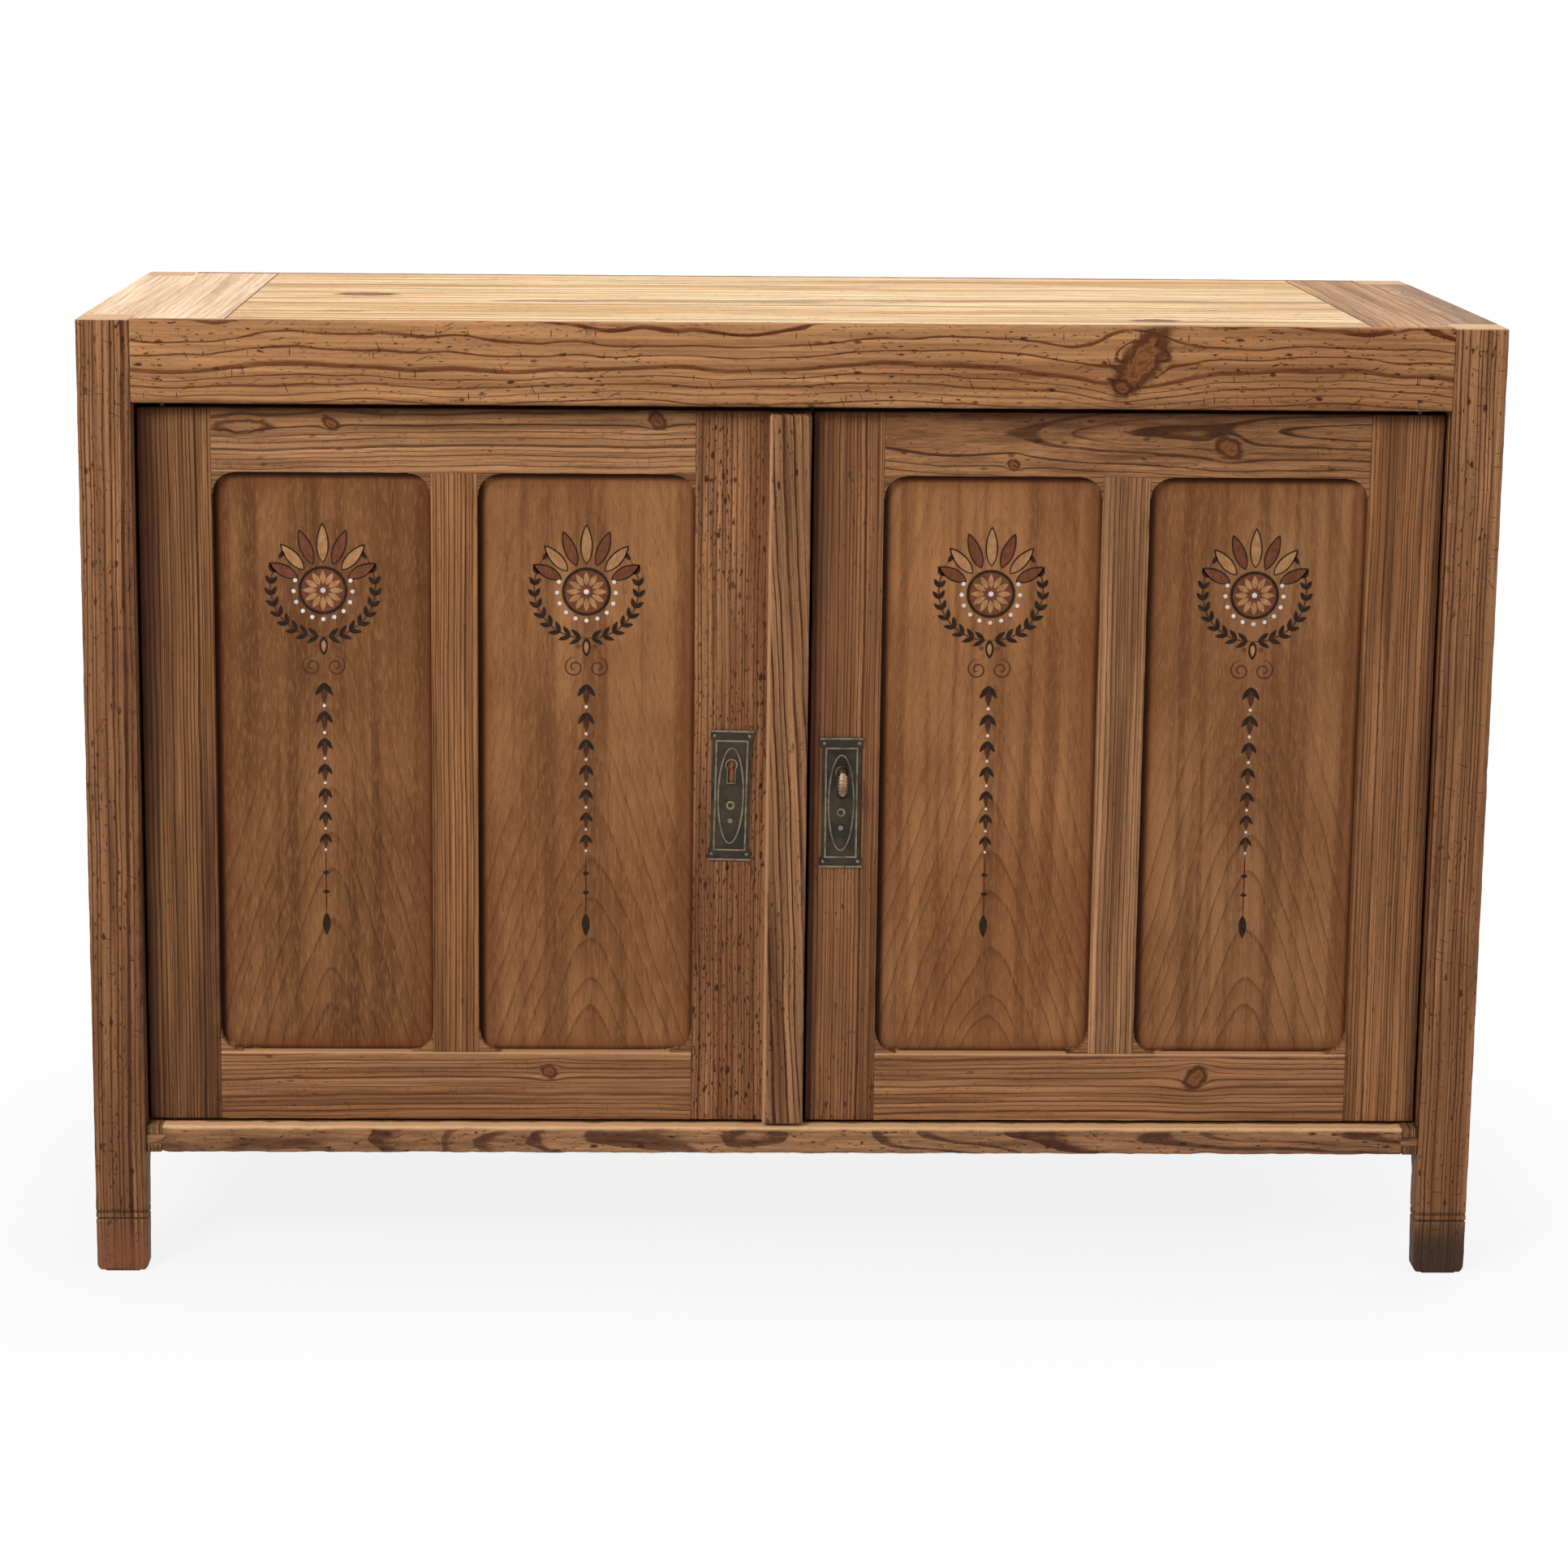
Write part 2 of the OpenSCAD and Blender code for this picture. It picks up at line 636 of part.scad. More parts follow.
// Four small blocks in a panel's corners, each with one hollow round edge
module corner_shape() difference() {
    leg = corner_r + 1;
    square(leg);
    translate([leg, leg]) circle(corner_r);
}

module corner_set_of(xa, xb) {
    x0 = min(xa, xb);
    x1 = max(xa, xb);
    plate(door_y0 + corner_set, panel_y0) for (right = [0, 1], up = [0, 1])
        translate([right ? x1 : x0, up ? open_z1 : open_z0])
            mirror([right, 0]) mirror([0, up]) corner_shape();
}

module corner_blocks(side) color(pine_dark) {
    corner_set_of(hinge_in(side), muntin_x(side) + side * muntin_w / 2);
    corner_set_of(lock_in(side), muntin_x(side) - side * muntin_w / 2);
}

// Strip over the meeting of the doors, with rounded front edges
strip_r = 3;
strip_low = 2;                              // how far its top stays below the doors' tops

module cover_strip() color(pine)
    translate([meet_x - strip_w, door_y0 - strip_t, door_z0])
        linear_extrude(door_z1 - door_z0 - strip_low) {
            translate([0, strip_r]) square([strip_w, strip_t - strip_r]);
            translate([strip_r, 0]) square([strip_w - 2 * strip_r, strip_r]);
            for (x = [strip_r, strip_w - strip_r]) translate([x, strip_r]) circle(strip_r);
        }

// Lock plates: a stepped outline, two bars, a raised rectangle and a raised oval
body_w = plate_w - 4;                       // between the end bars
line_w = plate_w - 10;
line_h = plate_h - 2 * plate_bar;
oval_w = line_w - 6;
oval_h = line_h - 14;
nail_d = 4;
nail_in = 4;                                // nails from the plate's edges
ring_d = 9;
ring_hole = 4.5;
ring_z = -10;                               // the ring, below the centre
stud_d = 5;
stud_z = -26;                               // the stud below it
lip_h = 2;                                  // raised edge along a bar
hole_up = 6.5;                              // the keyhole's round part above the key
hole_down = 11.5;                           // its slot below the key
rim_w = 1.2;                                // raised rim round the keyhole

module keyhole() {
    translate([0, key_up + hole_up]) circle(d = hole_d);
    translate([-slot_w / 2, key_up - hole_down]) square([slot_w, hole_up + hole_down]);
}

module lock_plate(x, z, lean = 0) color(bronze) translate([x, 0, z]) rotate([0, lean, 0]) {
    plate(plate_face, door_y0) difference() {
        union() {
            square([body_w, plate_h - plate_bar], center = true);
            for (s = [-1, 1])
                translate([0, s * (plate_h - plate_bar) / 2]) square([plate_w, plate_bar], center = true);
        }
        keyhole();
        translate([0, ring_z]) circle(d = ring_hole);
    }
    plate(plate_face - ridge_h, plate_face) {
        difference() {
            square([line_w, line_h], center = true);
            square([line_w - 2 * ridge_w, line_h - 2 * ridge_w], center = true);
        }
        difference() {
            oval(oval_w, oval_h);
            oval(oval_w - 2 * ridge_w, oval_h - 2 * ridge_w);
        }
        difference() {
            offset(r = rim_w) keyhole();
            keyhole();
        }
        translate([0, ring_z]) difference() {
            circle(d = ring_d);
            circle(d = ring_hole);
        }
        translate([0, stud_z]) circle(d = stud_d);
        for (s = [-1, 1])
            translate([0, s * (plate_h - lip_h) / 2]) square([plate_w, lip_h], center = true);
    }
}

// A round-headed nail in each corner of a plate
module plate_nails(x, z, lean = 0) color(bronze) translate([x, 0, z]) rotate([0, lean, 0])
    for (sx = [-1, 1], sz = [-1, 1])
        translate([sx * (plate_w / 2 - nail_in), plate_face, sz * (plate_h - plate_bar - lip_h) / 2])
            rotate([90, 0, 0]) rotate_extrude() intersection() {
                translate([0, -nail_d / 3]) circle(d = nail_d * 1.3);
                square(nail_d);
            }

// Pivot pins with a collar between the door and its bush
module pivot_pin(x) {
    bar_z(x, pivot_y, door_z0 - door_gap - pin_out, door_z0 + pin_in, pin_d);
    bar_z(x, pivot_y, door_z0 - collar_h, door_z0, collar_d);
}

module pivot_pins(side) color(iron) {
    pivot_pin(side * pivot_x);
    bar_z(side * pivot_x, pivot_y, door_z1 - pin_in, beam_z + pin_out, pin_d);
}

// Cups let into the bottom boards and into the beam, open towards the door
module pivot_bushes() color(brass) for (s = [-1, 1]) {
    difference() {
        bar_z(s * pivot_x, pivot_y, base_top - bush_l, base_top, bush_d);
        bar_z(s * pivot_x, pivot_y, base_top - pin_out - tip_gap, base_top + over, pin_d + 2 * run);
    }
    difference() {
        bar_z(s * pivot_x, pivot_y, beam_z, beam_z + bush_l, bush_d);
        bar_z(s * pivot_x, pivot_y, beam_z - over, beam_z + pin_out + tip_gap, pin_d + 2 * run);
    }
}

// Lock on the right door's inner face
module lock_case() color(iron) {
    difference() {
        block(case_x0, case_x1, door_y1, case_y1, case_z0, case_z1);
        block(case_x0 + case_wall, case_x1 - case_wall, door_y1 - over, case_y1 - case_wall,
            case_z0 + case_wall, case_z1 - case_wall);
        block(case_x0 - over, case_x0 + case_wall + over, bolt_y0 - fit, bolt_y0 + bolt_t + fit,
            bolt_z0 - fit, bolt_z0 + bolt_h + fit);
    }
    // drill pin that the key's pipe turns on
    bar_y(key_x, key_z, door_y1 + 2, case_y1 - case_wall, drill_d);
    for (z = [bolt_z0 - fit - guide_t, bolt_z0 + bolt_h + fit])
        block(case_x0 + guide_in, case_x0 + guide_in + guide_w, bolt_y0, case_y1 - case_wall,
            z, z + guide_t);
}

module lock_bolt() color(iron)
    block(bolt_tip, bolt_tip + bolt_l, bolt_y0, bolt_y0 + bolt_t, bolt_z0, bolt_z0 + bolt_h);

// Keeper on the left door: a block with a pocket for the bolt
module lock_keeper() color(iron) {
    keep_x1 = meet_x - 2;
    keep_x0 = keep_x1 - bolt_throw - 4 * keep_wall;
    difference() {
        block(keep_x0, keep_x1, door_y1, bolt_y0 + bolt_t + keep_wall,
            bolt_z0 - 2 * keep_wall, bolt_z0 + bolt_h + 2 * keep_wall);
        block(keep_x1 - bolt_throw - 2 * keep_play, keep_x1 + over, bolt_y0 - keep_play,
            bolt_y0 + bolt_t + keep_play, bolt_z0 - keep_play, bolt_z0 + bolt_h + keep_play);
    }
}

// Key: a hollow pipe with a bit, a collar and a ribbed oval bow seen edge-on
module key() color(brass) {
    bow_y0 = door_y0 - key_reach;
    pipe_y0 = bow_y0 + bow_w - 1;
    pipe_y1 = case_y1 - case_wall - tip_gap;
    collar = 3;
    bit_t = 3;
    bit_l = 7;
    difference() {
        union() {
            bar_y(key_x, key_z, pipe_y0, pipe_y1, key_d);
            bar_y(key_x, key_z, pipe_y0, pipe_y0 + collar, key_d + collar);
            block(key_x - bit_t / 2, key_x + bit_t / 2, pipe_y1 - bit_l - 1, pipe_y1 - 1,
                key_z - bit_r, key_z);
        }
        bar_y(key_x, key_z, door_y1 + tip_gap, pipe_y1 + over, drill_d + 2 * run);
    }
    // the bow: each pair is a band's share of the outline and of the thickness
    translate([key_x, bow_y0 + bow_w / 2, key_z]) rotate([90, 0, 90])
        for (band = [[1, 0.5], [0.82, 0.8], [0.64, 1]])
            linear_extrude(bow_t * band[1], center = true) difference() {
                oval(bow_w * band[0], bow_h * band[0]);
                oval(bow_w * 0.34, bow_h * 0.42);
            }
}

// Slide bolt and its staples on the left door's inner face
module slide_bolt() color(iron) {
    knob_y1 = rod_y + rod_d / 2 + 10;
    bar_z(rod_x, rod_y, rod_z0, rod_z1, rod_d);
    bar_y(rod_x, (rod_z0 + rod_z1) / 2, rod_y, knob_y1, rod_d * 0.7);
    bar_y(rod_x, (rod_z0 + rod_z1) / 2, knob_y1 - 4, knob_y1, rod_d * 1.2);
}

module bolt_staples() color(iron) for (z = [rod_z0 + staple_h, rod_z1 - staple_down])
    difference() {
        block(rod_x - rod_d, rod_x + rod_d, door_y1, rod_y + rod_d / 2 + staple_wall, z, z + staple_h);
        bar_z(rod_x, rod_y, z - over, z + staple_h + over, rod_d + 2 * run);
    }

post_front_one(false);  // post_front_left
post_front_one(true);  // post_front_right
post_rear_one(false);  // post_rear_left
post_rear_one(true);  // post_rear_right
front_beam();
rear_top_rail();
side_rail(false, beam_z, deck_z);  // side_top_rail_left
side_rail(true, beam_z, deck_z);  // side_top_rail_right
side_rail(false, side_z, side_z + side_rail_h);  // side_bottom_rail_left
side_rail(true, side_z, side_z + side_rail_h);  // side_bottom_rail_right
side_boards(false);  // side_boards_left
side_boards(true);  // side_boards_right
rear_bottom_rail();
back_boards();
base_front_rail();
base_rear_rail();
base_side(false);  // base_side_left
base_side(true);  // base_side_right
bottom_boards();
bottom_cleats();
base_pegs();
top_end_board_left();
top_end_board_right();
top_planks();
top_bearers();
shelf_boards();
shelf_cleats();
shelf_front_rail();
door_stop_rail();
hinge_stile(-1);  // left_hinge_stile
lock_stile(-1);  // left_lock_stile
top_rail(-1);  // left_top_rail
bottom_rail(-1);  // left_bottom_rail
muntin(-1);  // left_muntin
outer_panel(-1);  // left_outer_panel
inner_panel(-1);  // left_inner_panel
corner_blocks(-1);  // left_corner_blocks
hinge_stile(1);  // right_hinge_stile
lock_stile(1);  // right_lock_stile
top_rail(1);  // right_top_rail
bottom_rail(1);  // right_bottom_rail
muntin(1);  // right_muntin
outer_panel(1);  // right_outer_panel
inner_panel(1);  // right_inner_panel
corner_blocks(1);  // right_corner_blocks
cover_strip();
lock_plate(plate_left_x, plate_z, plate_lean);  // left_lock_plate
lock_plate(plate_right_x, plate_right_z);  // right_lock_plate
plate_nails(plate_left_x, plate_z, plate_lean);  // left_plate_nails
plate_nails(plate_right_x, plate_right_z);  // right_plate_nails
pivot_pins(-1);  // left_pivot_pins
pivot_pins(1);  // right_pivot_pins
pivot_bushes();
lock_case();
lock_bolt();
lock_keeper();
key();
slide_bolt();
bolt_staples();
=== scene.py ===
import functools
import math

import bpy
import numpy as np
from mathutils import Matrix, Vector


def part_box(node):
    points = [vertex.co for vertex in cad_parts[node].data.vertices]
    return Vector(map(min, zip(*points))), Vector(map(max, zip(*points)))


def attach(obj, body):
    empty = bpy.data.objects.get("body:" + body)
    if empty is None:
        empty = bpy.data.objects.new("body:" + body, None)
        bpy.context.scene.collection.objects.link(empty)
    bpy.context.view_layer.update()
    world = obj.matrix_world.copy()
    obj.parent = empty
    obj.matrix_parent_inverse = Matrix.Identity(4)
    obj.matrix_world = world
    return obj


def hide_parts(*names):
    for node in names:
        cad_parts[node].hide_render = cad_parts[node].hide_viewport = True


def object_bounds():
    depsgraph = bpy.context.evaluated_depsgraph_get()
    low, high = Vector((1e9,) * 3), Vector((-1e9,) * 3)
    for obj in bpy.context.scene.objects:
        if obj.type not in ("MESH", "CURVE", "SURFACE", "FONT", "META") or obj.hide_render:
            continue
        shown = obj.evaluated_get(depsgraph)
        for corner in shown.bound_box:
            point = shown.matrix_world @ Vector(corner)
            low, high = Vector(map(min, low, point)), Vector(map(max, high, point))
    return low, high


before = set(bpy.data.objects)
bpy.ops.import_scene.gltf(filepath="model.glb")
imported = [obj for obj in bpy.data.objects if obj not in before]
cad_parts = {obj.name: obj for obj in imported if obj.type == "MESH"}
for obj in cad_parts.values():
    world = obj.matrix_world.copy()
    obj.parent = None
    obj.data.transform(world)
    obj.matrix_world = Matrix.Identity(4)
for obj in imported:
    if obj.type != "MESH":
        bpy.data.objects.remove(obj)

cad_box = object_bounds()

# Posts. Four square posts of old pine run from the floor to the top and show their end grain there.
# Each foot is cut away behind in a cove, has two scribed lines round it, and is darkened by wet floors.


def ripple(t, seed, wave=0.09):
    """Uneven line of about unit height: a sum of five sines of t, the first of length wave, each next one 0.6
    as long and 0.8 as high, with seeded phases."""
    rng = np.random.default_rng(seed)
    return sum(0.8 ** k * np.sin(2 * np.pi * t / (wave * 0.6 ** k) + rng.uniform(0, 2 * np.pi))
               for k in range(5)) / 2


def notches(t, seed, per_metre=9, wide=0.006):
    """Row of knocks along t: a sum of deep * exp(-((t - place) / width)**2) with seeded places."""
    rng = np.random.default_rng(seed)
    count = max(1, int(per_metre * np.ptp(t)))
    place = rng.uniform(t.min(), t.max(), count)
    deep = rng.uniform(0.1, 1.0, count) ** 3
    width = wide * rng.uniform(0.5, 1.6, count)
    return (deep * np.exp(-((t[:, None] - place) / width) ** 2)).sum(1)


def tube_faces(rows, across, loop=False):
    """Quads between the rings of a tube, each ring with the same count of points, and the two flat faces that
    close it. A loop joins its last ring to the first and has no flat faces."""
    i, j = np.meshgrid(np.arange(rows if loop else rows - 1), np.arange(across), indexing="ij")
    here, there, k = i * across, (i + 1) % rows * across, (j + 1) % across
    quads = np.stack([here + j, here + k, there + k, there + j], -1).reshape(-1, 4)
    return quads, [] if loop else [list(range(across))[::-1], list(range((rows - 1) * across, rows * across))]


def board_skin(along, stations, outline, arris=0.0012, wear=0.5, knocks=2.0, seed=0, grooves=()):
    """Closed skin of a board, as (points, quads, caps, worn).

    stations lie along the grain. outline holds the right-angled section at each of them, anticlockwise.
    An outer corner becomes the quarter round corner - r (n1 + n2) + r (n1 cos t + n2 sin t), where n1 and n2
    are the outward normals of its edges and r = arris (1 + wear ripple + knocks notches). The ends shrink
    along the same quarter round and close with a flat face. worn is 1 on a round, falls to 0 on a flat
    and is -1 at the stations of grooves, which the finish paints darker.
    """
    u, section = np.asarray(stations, float), np.asarray(outline, float)
    corners = section.shape[1]
    side = np.roll(section, -1, 1) - section
    side /= np.linalg.norm(side, axis=2, keepdims=True)
    after = np.stack([side[..., 1], -side[..., 0]], -1)
    before = np.roll(after, 1, 1)
    outer = np.cross(np.roll(side, 1, 1)[0], side[0]) > 0
    seeds = seed + 7 * np.arange(corners)
    uneven = np.stack([1 + wear * ripple(u, s) + knocks * notches(u, s + 3) for s in seeds], 1)
    radius = arris * np.clip(uneven, 0.35, 6)
    end = arris * 1.1
    steps = np.radians([90, 90, 60, 30])
    shrink = end * (1 - np.cos(steps)) + np.array([0.0012, 0, 0, 0])
    rise = end * (1 - np.sin(steps))
    row = np.concatenate([np.zeros(4, int), np.arange(len(u)), np.full(4, len(u) - 1)])
    inset = np.concatenate([shrink, np.zeros(len(u)), shrink[::-1]])
    height = np.concatenate([u[0] + rise, [u[0] + end], u[1:-1], [u[-1] - end], u[-1] - rise[::-1]])
    corner = section[row] - inset[:, None, None] * (before + after)[row]
    radius = np.maximum(radius[row] - inset[:, None], 0.0002)[..., None, None]
    turn = np.linspace(0, np.pi / 2, 5)[:, None]
    arcs = []
    for k in range(corners):
        if outer[k]:
            n1, n2, r = before[row, k, None], after[row, k, None], radius[:, k]
            arcs.append(corner[:, k, None] - r * (n1 + n2) + r * (np.cos(turn) * n1 + np.sin(turn) * n2))
        else:
            arcs.append(corner[:, k, None])
    fading = ((0.0015, 0.55), (0.005, 0.15), (0.012, 0.0))
    ring, worn = [], []
    for k in range(corners):
        ring.append(arcs[k])
        worn += [1.0 if outer[k] else 0.0] * arcs[k].shape[1]
        start, stop = arcs[k][:, -1:], arcs[(k + 1) % corners][:, :1]
        length = np.linalg.norm(stop - start, axis=2, keepdims=True)
        near = [(d, w) for d, w in fading if d < 0.42 * length.min()]
        ring += [start + (stop - start) * d / length for d, w in near]
        ring += [stop + (start - stop) * d / length for d, w in near[::-1]]
        worn += [w for d, w in near + near[::-1]]
    ring = np.concatenate(ring, 1)
    rows, across = ring.shape[:2]
    points = np.concatenate([np.repeat(height, across)[:, None], ring.reshape(-1, 2)], 1)
    points = np.roll(points, "xyz".index(along), 1)
    mark = np.tile(worn, (rows, 1))
    mark[4:-4][np.isin(u, grooves)] = -1.0
    mark[1:4] = mark[-4:-1] = 1.0
    mark[[0, -1]] = 0.3
    return (points, *tube_faces(rows, across), mark.ravel())


def plain_board(low, high, along, step=0.006, **finish):
    """Board whose section is the same rectangle from end to end, between two corners."""
    a = "xyz".index(along)
    b, c = (a + 1) % 3, (a + 2) % 3
    u = np.linspace(low[a], high[a], max(3, int((high[a] - low[a]) / step)))
    square = np.array([[low[b], low[c]], [high[b], low[c]], [high[b], high[c]], [low[b], high[c]]])
    return board_skin(along, u, np.tile(square, (len(u), 1, 1)), **finish)


def mesh_piece(name, points, faces, body):
    """New piece from a list of point arrays and a list of faces, riding on a body."""
    mesh = bpy.data.meshes.new(name)
    mesh.from_pydata(np.concatenate(points).tolist(), [], faces)
    piece = bpy.data.objects.new(name, mesh)
    bpy.context.collection.objects.link(piece)
    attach(piece, body)
    return piece


def dress(node, skins, finish, body="carcase", ending="_worn"):
    """Joins skins into one mesh piece that rides on a body and stands for a CAD node. Its worn attribute
    marks the rounded arrises, and its board attribute numbers the boards."""
    points, faces, worn, board = [], [], [], []
    count = 0
    for number, (p, quads, caps, mark) in enumerate(skins):
        points.append(p)
        faces += (quads + count).tolist() + [[v + count for v in cap] for cap in caps]
        worn.append(mark)
        board.append(np.full(len(p), float(number)))
        count += len(p)
    piece = mesh_piece(node + ending, points, faces, body)
    mesh = piece.data
    mesh.polygons.foreach_set("use_smooth", np.ones(len(mesh.polygons), bool))
    for label, values in (("worn", worn), ("board", board)):
        mesh.attributes.new(label, "FLOAT", "POINT").data.foreach_set("value", np.concatenate(values))
    mesh.materials.append(finish)
    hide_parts(node)


class Bench:
    """Lays the nodes of one shader: each call adds a node, wires or sets its inputs and gives its output."""

    def __init__(self, tree):
        self.tree = tree

    def fill(self, node, inputs):
        """Wires an output into each named input of a node, or sets a plain value on the input itself."""
        for key, value in dict(inputs).items():
            if isinstance(value, bpy.types.NodeSocket):
                self.tree.links.new(value, node.inputs[key])
            else:
                node.inputs[key].default_value = value

    def put(self, kind, inputs=(), out=0, **settings):
        node = self.tree.nodes.new("ShaderNode" + kind)
        for key, value in settings.items():
            setattr(node, key, value)
        self.fill(node, inputs)
        return node.outputs[out]

    def math(self, operation, *values):
        return self.put("Math", enumerate(values), operation=operation)

    def vector(self, operation, *values, out=0):
        return self.put("VectorMath", enumerate(values), out, operation=operation)

    def scaled(self, vector, by):
        return self.put("VectorMath", {0: vector, "Scale": by}, operation="SCALE")

    def axis(self, vector, number):
        return self.put("SeparateXYZ", {"Vector": vector}, number)

    def noise(self, place, scale, detail=2.0, out=0):
        """Noise of a place in metres. scale is waves per metre along each axis."""
        stretched = self.vector("MULTIPLY", place, scale)
        return self.put("TexNoise", {"Vector": stretched, "Scale": 1.0, "Detail": detail}, out)

    def wander(self, value, detail):
        """Noise along a line, one wave to each unit of value."""
        return self.put("TexNoise", {"W": value, "Scale": 1.0, "Detail": detail}, noise_dimensions="1D")

    def centred(self, place, scale, detail):
        """Noise in three directions, about zero."""
        return self.vector("SUBTRACT", self.noise(place, scale, detail, 1), (0.5, 0.5, 0.5))

    def specks(self, place, scale):
        """Distance to the nearest of scattered points, scale of them per metre, and that point's luck."""
        near = self.put("TexVoronoi", {"Vector": self.vector("MULTIPLY", place, scale), "Scale": 1.0})
        return near, self.put("SeparateColor", {"Color": near.node.outputs["Color"]})

    def step(self, value, low, high, to_low=0.0, to_high=1.0):
        """Smooth step of value from to_low at low to to_high at high."""
        inputs = {"Value": value, "From Min": low, "From Max": high, "To Min": to_low, "To Max": to_high}
        return self.put("MapRange", inputs, interpolation_type="SMOOTHSTEP")

    def mix(self, share, a, b, blend="MIX"):
        return self.put("Mix", {0: share, 6: a, 7: b}, 2, data_type="RGBA", blend_type=blend)

    def shaded(self, color, grey):
        """Colour times a grey value."""
        return self.mix(1.0, color, self.put("CombineColor", {k: grey for k in range(3)}), "MULTIPLY")


for word, operation in {"plus": "ADD", "minus": "SUBTRACT", "times": "MULTIPLY", "over": "DIVIDE",
                        "most": "MAXIMUM", "least": "MINIMUM", "times_plus": "MULTIPLY_ADD",
                        "fraction": "FRACT"}.items():
    setattr(Bench, word, functools.partialmethod(Bench.math, operation))


def paint(red, green, blue):
    """Colour of 0 to 255 steps as the shader takes it."""
    steps = np.array([red, green, blue]) / 255
    return (*np.where(steps > 0.04045, ((steps + 0.055) / 1.055) ** 2.4, steps / 12.92).tolist(), 1.0)


def new_group(name, inputs, outputs):
    """Node group with the named sockets, and its bench, input values and output node. A socket is a number
    unless its name is followed by another kind."""
    tree = bpy.data.node_groups.new(name, "ShaderNodeTree")
    for side, sockets in (("INPUT", inputs), ("OUTPUT", outputs)):
        for socket in sockets.split():
            label, _, kind = socket.partition(":")
            tree.interface.new_socket(label, in_out=side, socket_type="NodeSocket" + (kind or "Float"))
    return Bench(tree), tree.nodes.new("NodeGroupInput").outputs, tree.nodes.new("NodeGroupOutput")


def make_pine_rings():
    """Growth rings of pine. Place is x along the tree's heart and y, z away from it, in metres.

    Distance from the heart, swung by slow noise, over the ring width gives the ring number. Its fraction
    rises smoothly into a dark late band and drops at once to the next pale band. Each ring has its own
    strength, and its line comes and goes along the length. Fibre, streaks, flecks, worm holes and scratches
    lie over that. Tall is the height for the bump, from 0 to 1.
    """
    b, get, give = new_group("pine_rings", "Place:Vector Bend Ring Early Wave Line Grain Pits Scratch "
                             "Pale:Color Warm:Color Dark:Color", "Color:Color Tall Rough")
    place, pits, dark = get["Place"], get["Pits"], get["Dark"]
    swing = b.scaled(b.centred(place, (4.2, 8, 8), 2.0), b.times(get["Wave"], 8.0))
    shake = b.minus(b.noise(place, (22, 60, 60), 3.0), 0.5)
    away = b.vector("MULTIPLY", b.vector("ADD", place, swing), (0, 1, 1))
    reach = b.plus(b.vector("LENGTH", away, out=1), get["Bend"])
    count = b.over(b.times_plus(shake, b.times(get["Ring"], 0.35), reach), get["Ring"])
    count = b.times_plus(b.wander(b.times(count, 0.37), 1.0), 2.4, count)
    part = b.fraction(count)
    full = b.times_plus(get["Early"], 0.4, 0.55)
    late = b.times(b.step(part, get["Early"], full), b.step(part, 0.96, 1.0, 1.0, 0.0))
    power = b.put("TexWhiteNoise", {"W": b.math("FLOOR", count)}, noise_dimensions="1D")
    late = b.times(late, b.times_plus(power, 0.35, 0.65))
    late = b.times(late, b.step(b.noise(place, (24, 260, 260), 3.0), 0.34, 0.5, 0.75, 1.0))
    glow = b.times(b.step(part, 0.1, 0.9), 0.35)
    fibre = b.noise(place, (9, 520, 520), 3.0)
    cloud = b.noise(place, (1.6, 22, 22), 3.0)
    streak = b.step(b.noise(place, (1.8, 90, 90), 3.0), 0.5, 0.72)
    fleck = b.step(b.noise(place, (80, 900, 900), 2.0), 0.60, 0.72)
    band = b.noise(place, (5, 210, 210), 3.0)
    shade = b.times(b.step(fibre, 0.28, 0.72, 0.78, 1.2), b.step(band, 0.3, 0.7, 0.76, 1.22))
    shade = b.times_plus(b.minus(shade, 1.0), get["Grain"], 1.0)
    color = b.mix(b.step(cloud, 0.36, 0.66), get["Pale"], get["Warm"])
    color = b.shaded(b.mix(glow, color, get["Warm"]), shade)
    for share in (b.times(late, get["Line"]), b.times(streak, 0.42), b.times(fleck, 0.44)):
        color = b.mix(share, color, dark)

    ragged = b.vector("MULTIPLY", b.noise(place, (260, 420, 420), 3.0, 1), (0.006, 0.003, 0.003))
    hole, luck = b.specks(b.vector("ADD", place, ragged), (38, 90, 90))
    hole = b.times(b.step(hole, 0.1, 0.2, 1.0, 0.0), b.step(b.times_plus(pits, 0.4, luck), 0.85, 0.9))
    crowd = b.times_plus(pits, 0.1, b.noise(place, (5, 14, 14), 2.0))
    torn = b.times_plus(pits, 0.05, b.noise(place, (120, 430, 430), 4.0))
    hole = b.times(b.most(hole, b.step(torn, 0.685, 0.725)), b.step(crowd, 0.46, 0.62))
    hole = b.times(hole, b.least(pits, 1.0))
    marks = 0.0
    for turn, scale in ((1.15, (30, 420, 60)), (-0.45, (26, 460, 60)), (1.57, (48, 380, 60))):
        turned = b.put("VectorRotate", {"Vector": place, "Angle": turn}, rotation_type="Z_AXIS")
        mark, luck = b.specks(turned, scale)
        marks = b.most(b.times(b.step(mark, 0.12, 0.24, 1.0, 0.0), b.step(luck, 0.9, 0.92)), marks)
    hurt = b.most(hole, b.times(marks, get["Scratch"]))
    color = b.mix(b.times(hurt, 0.88), color, paint(44, 20, 9))
    worn = b.put("Attribute", {}, 2, attribute_name="worn")
    rub = b.times(worn, b.step(b.noise(place, (40, 40, 40), 3.0), 0.35, 0.7))
    color = b.mix(b.times(rub, 0.35), color, get["Pale"])
    # The grooves (worn -1) are painted darker.
    groove_dark = b.step(worn, -0.2, -0.9, 0.0, 0.75)
    tall = b.plus(b.times_plus(late, 0.3, b.times(fibre, 0.35)), 0.4)
    b.fill(give, {"Color": b.mix(groove_dark, color, paint(40, 24, 16)), "Tall": b.minus(tall, b.times(hurt, 0.8)),
                  "Rough": b.times_plus(cloud, 0.2, b.times_plus(late, -0.08, 0.45))})
    return b.tree


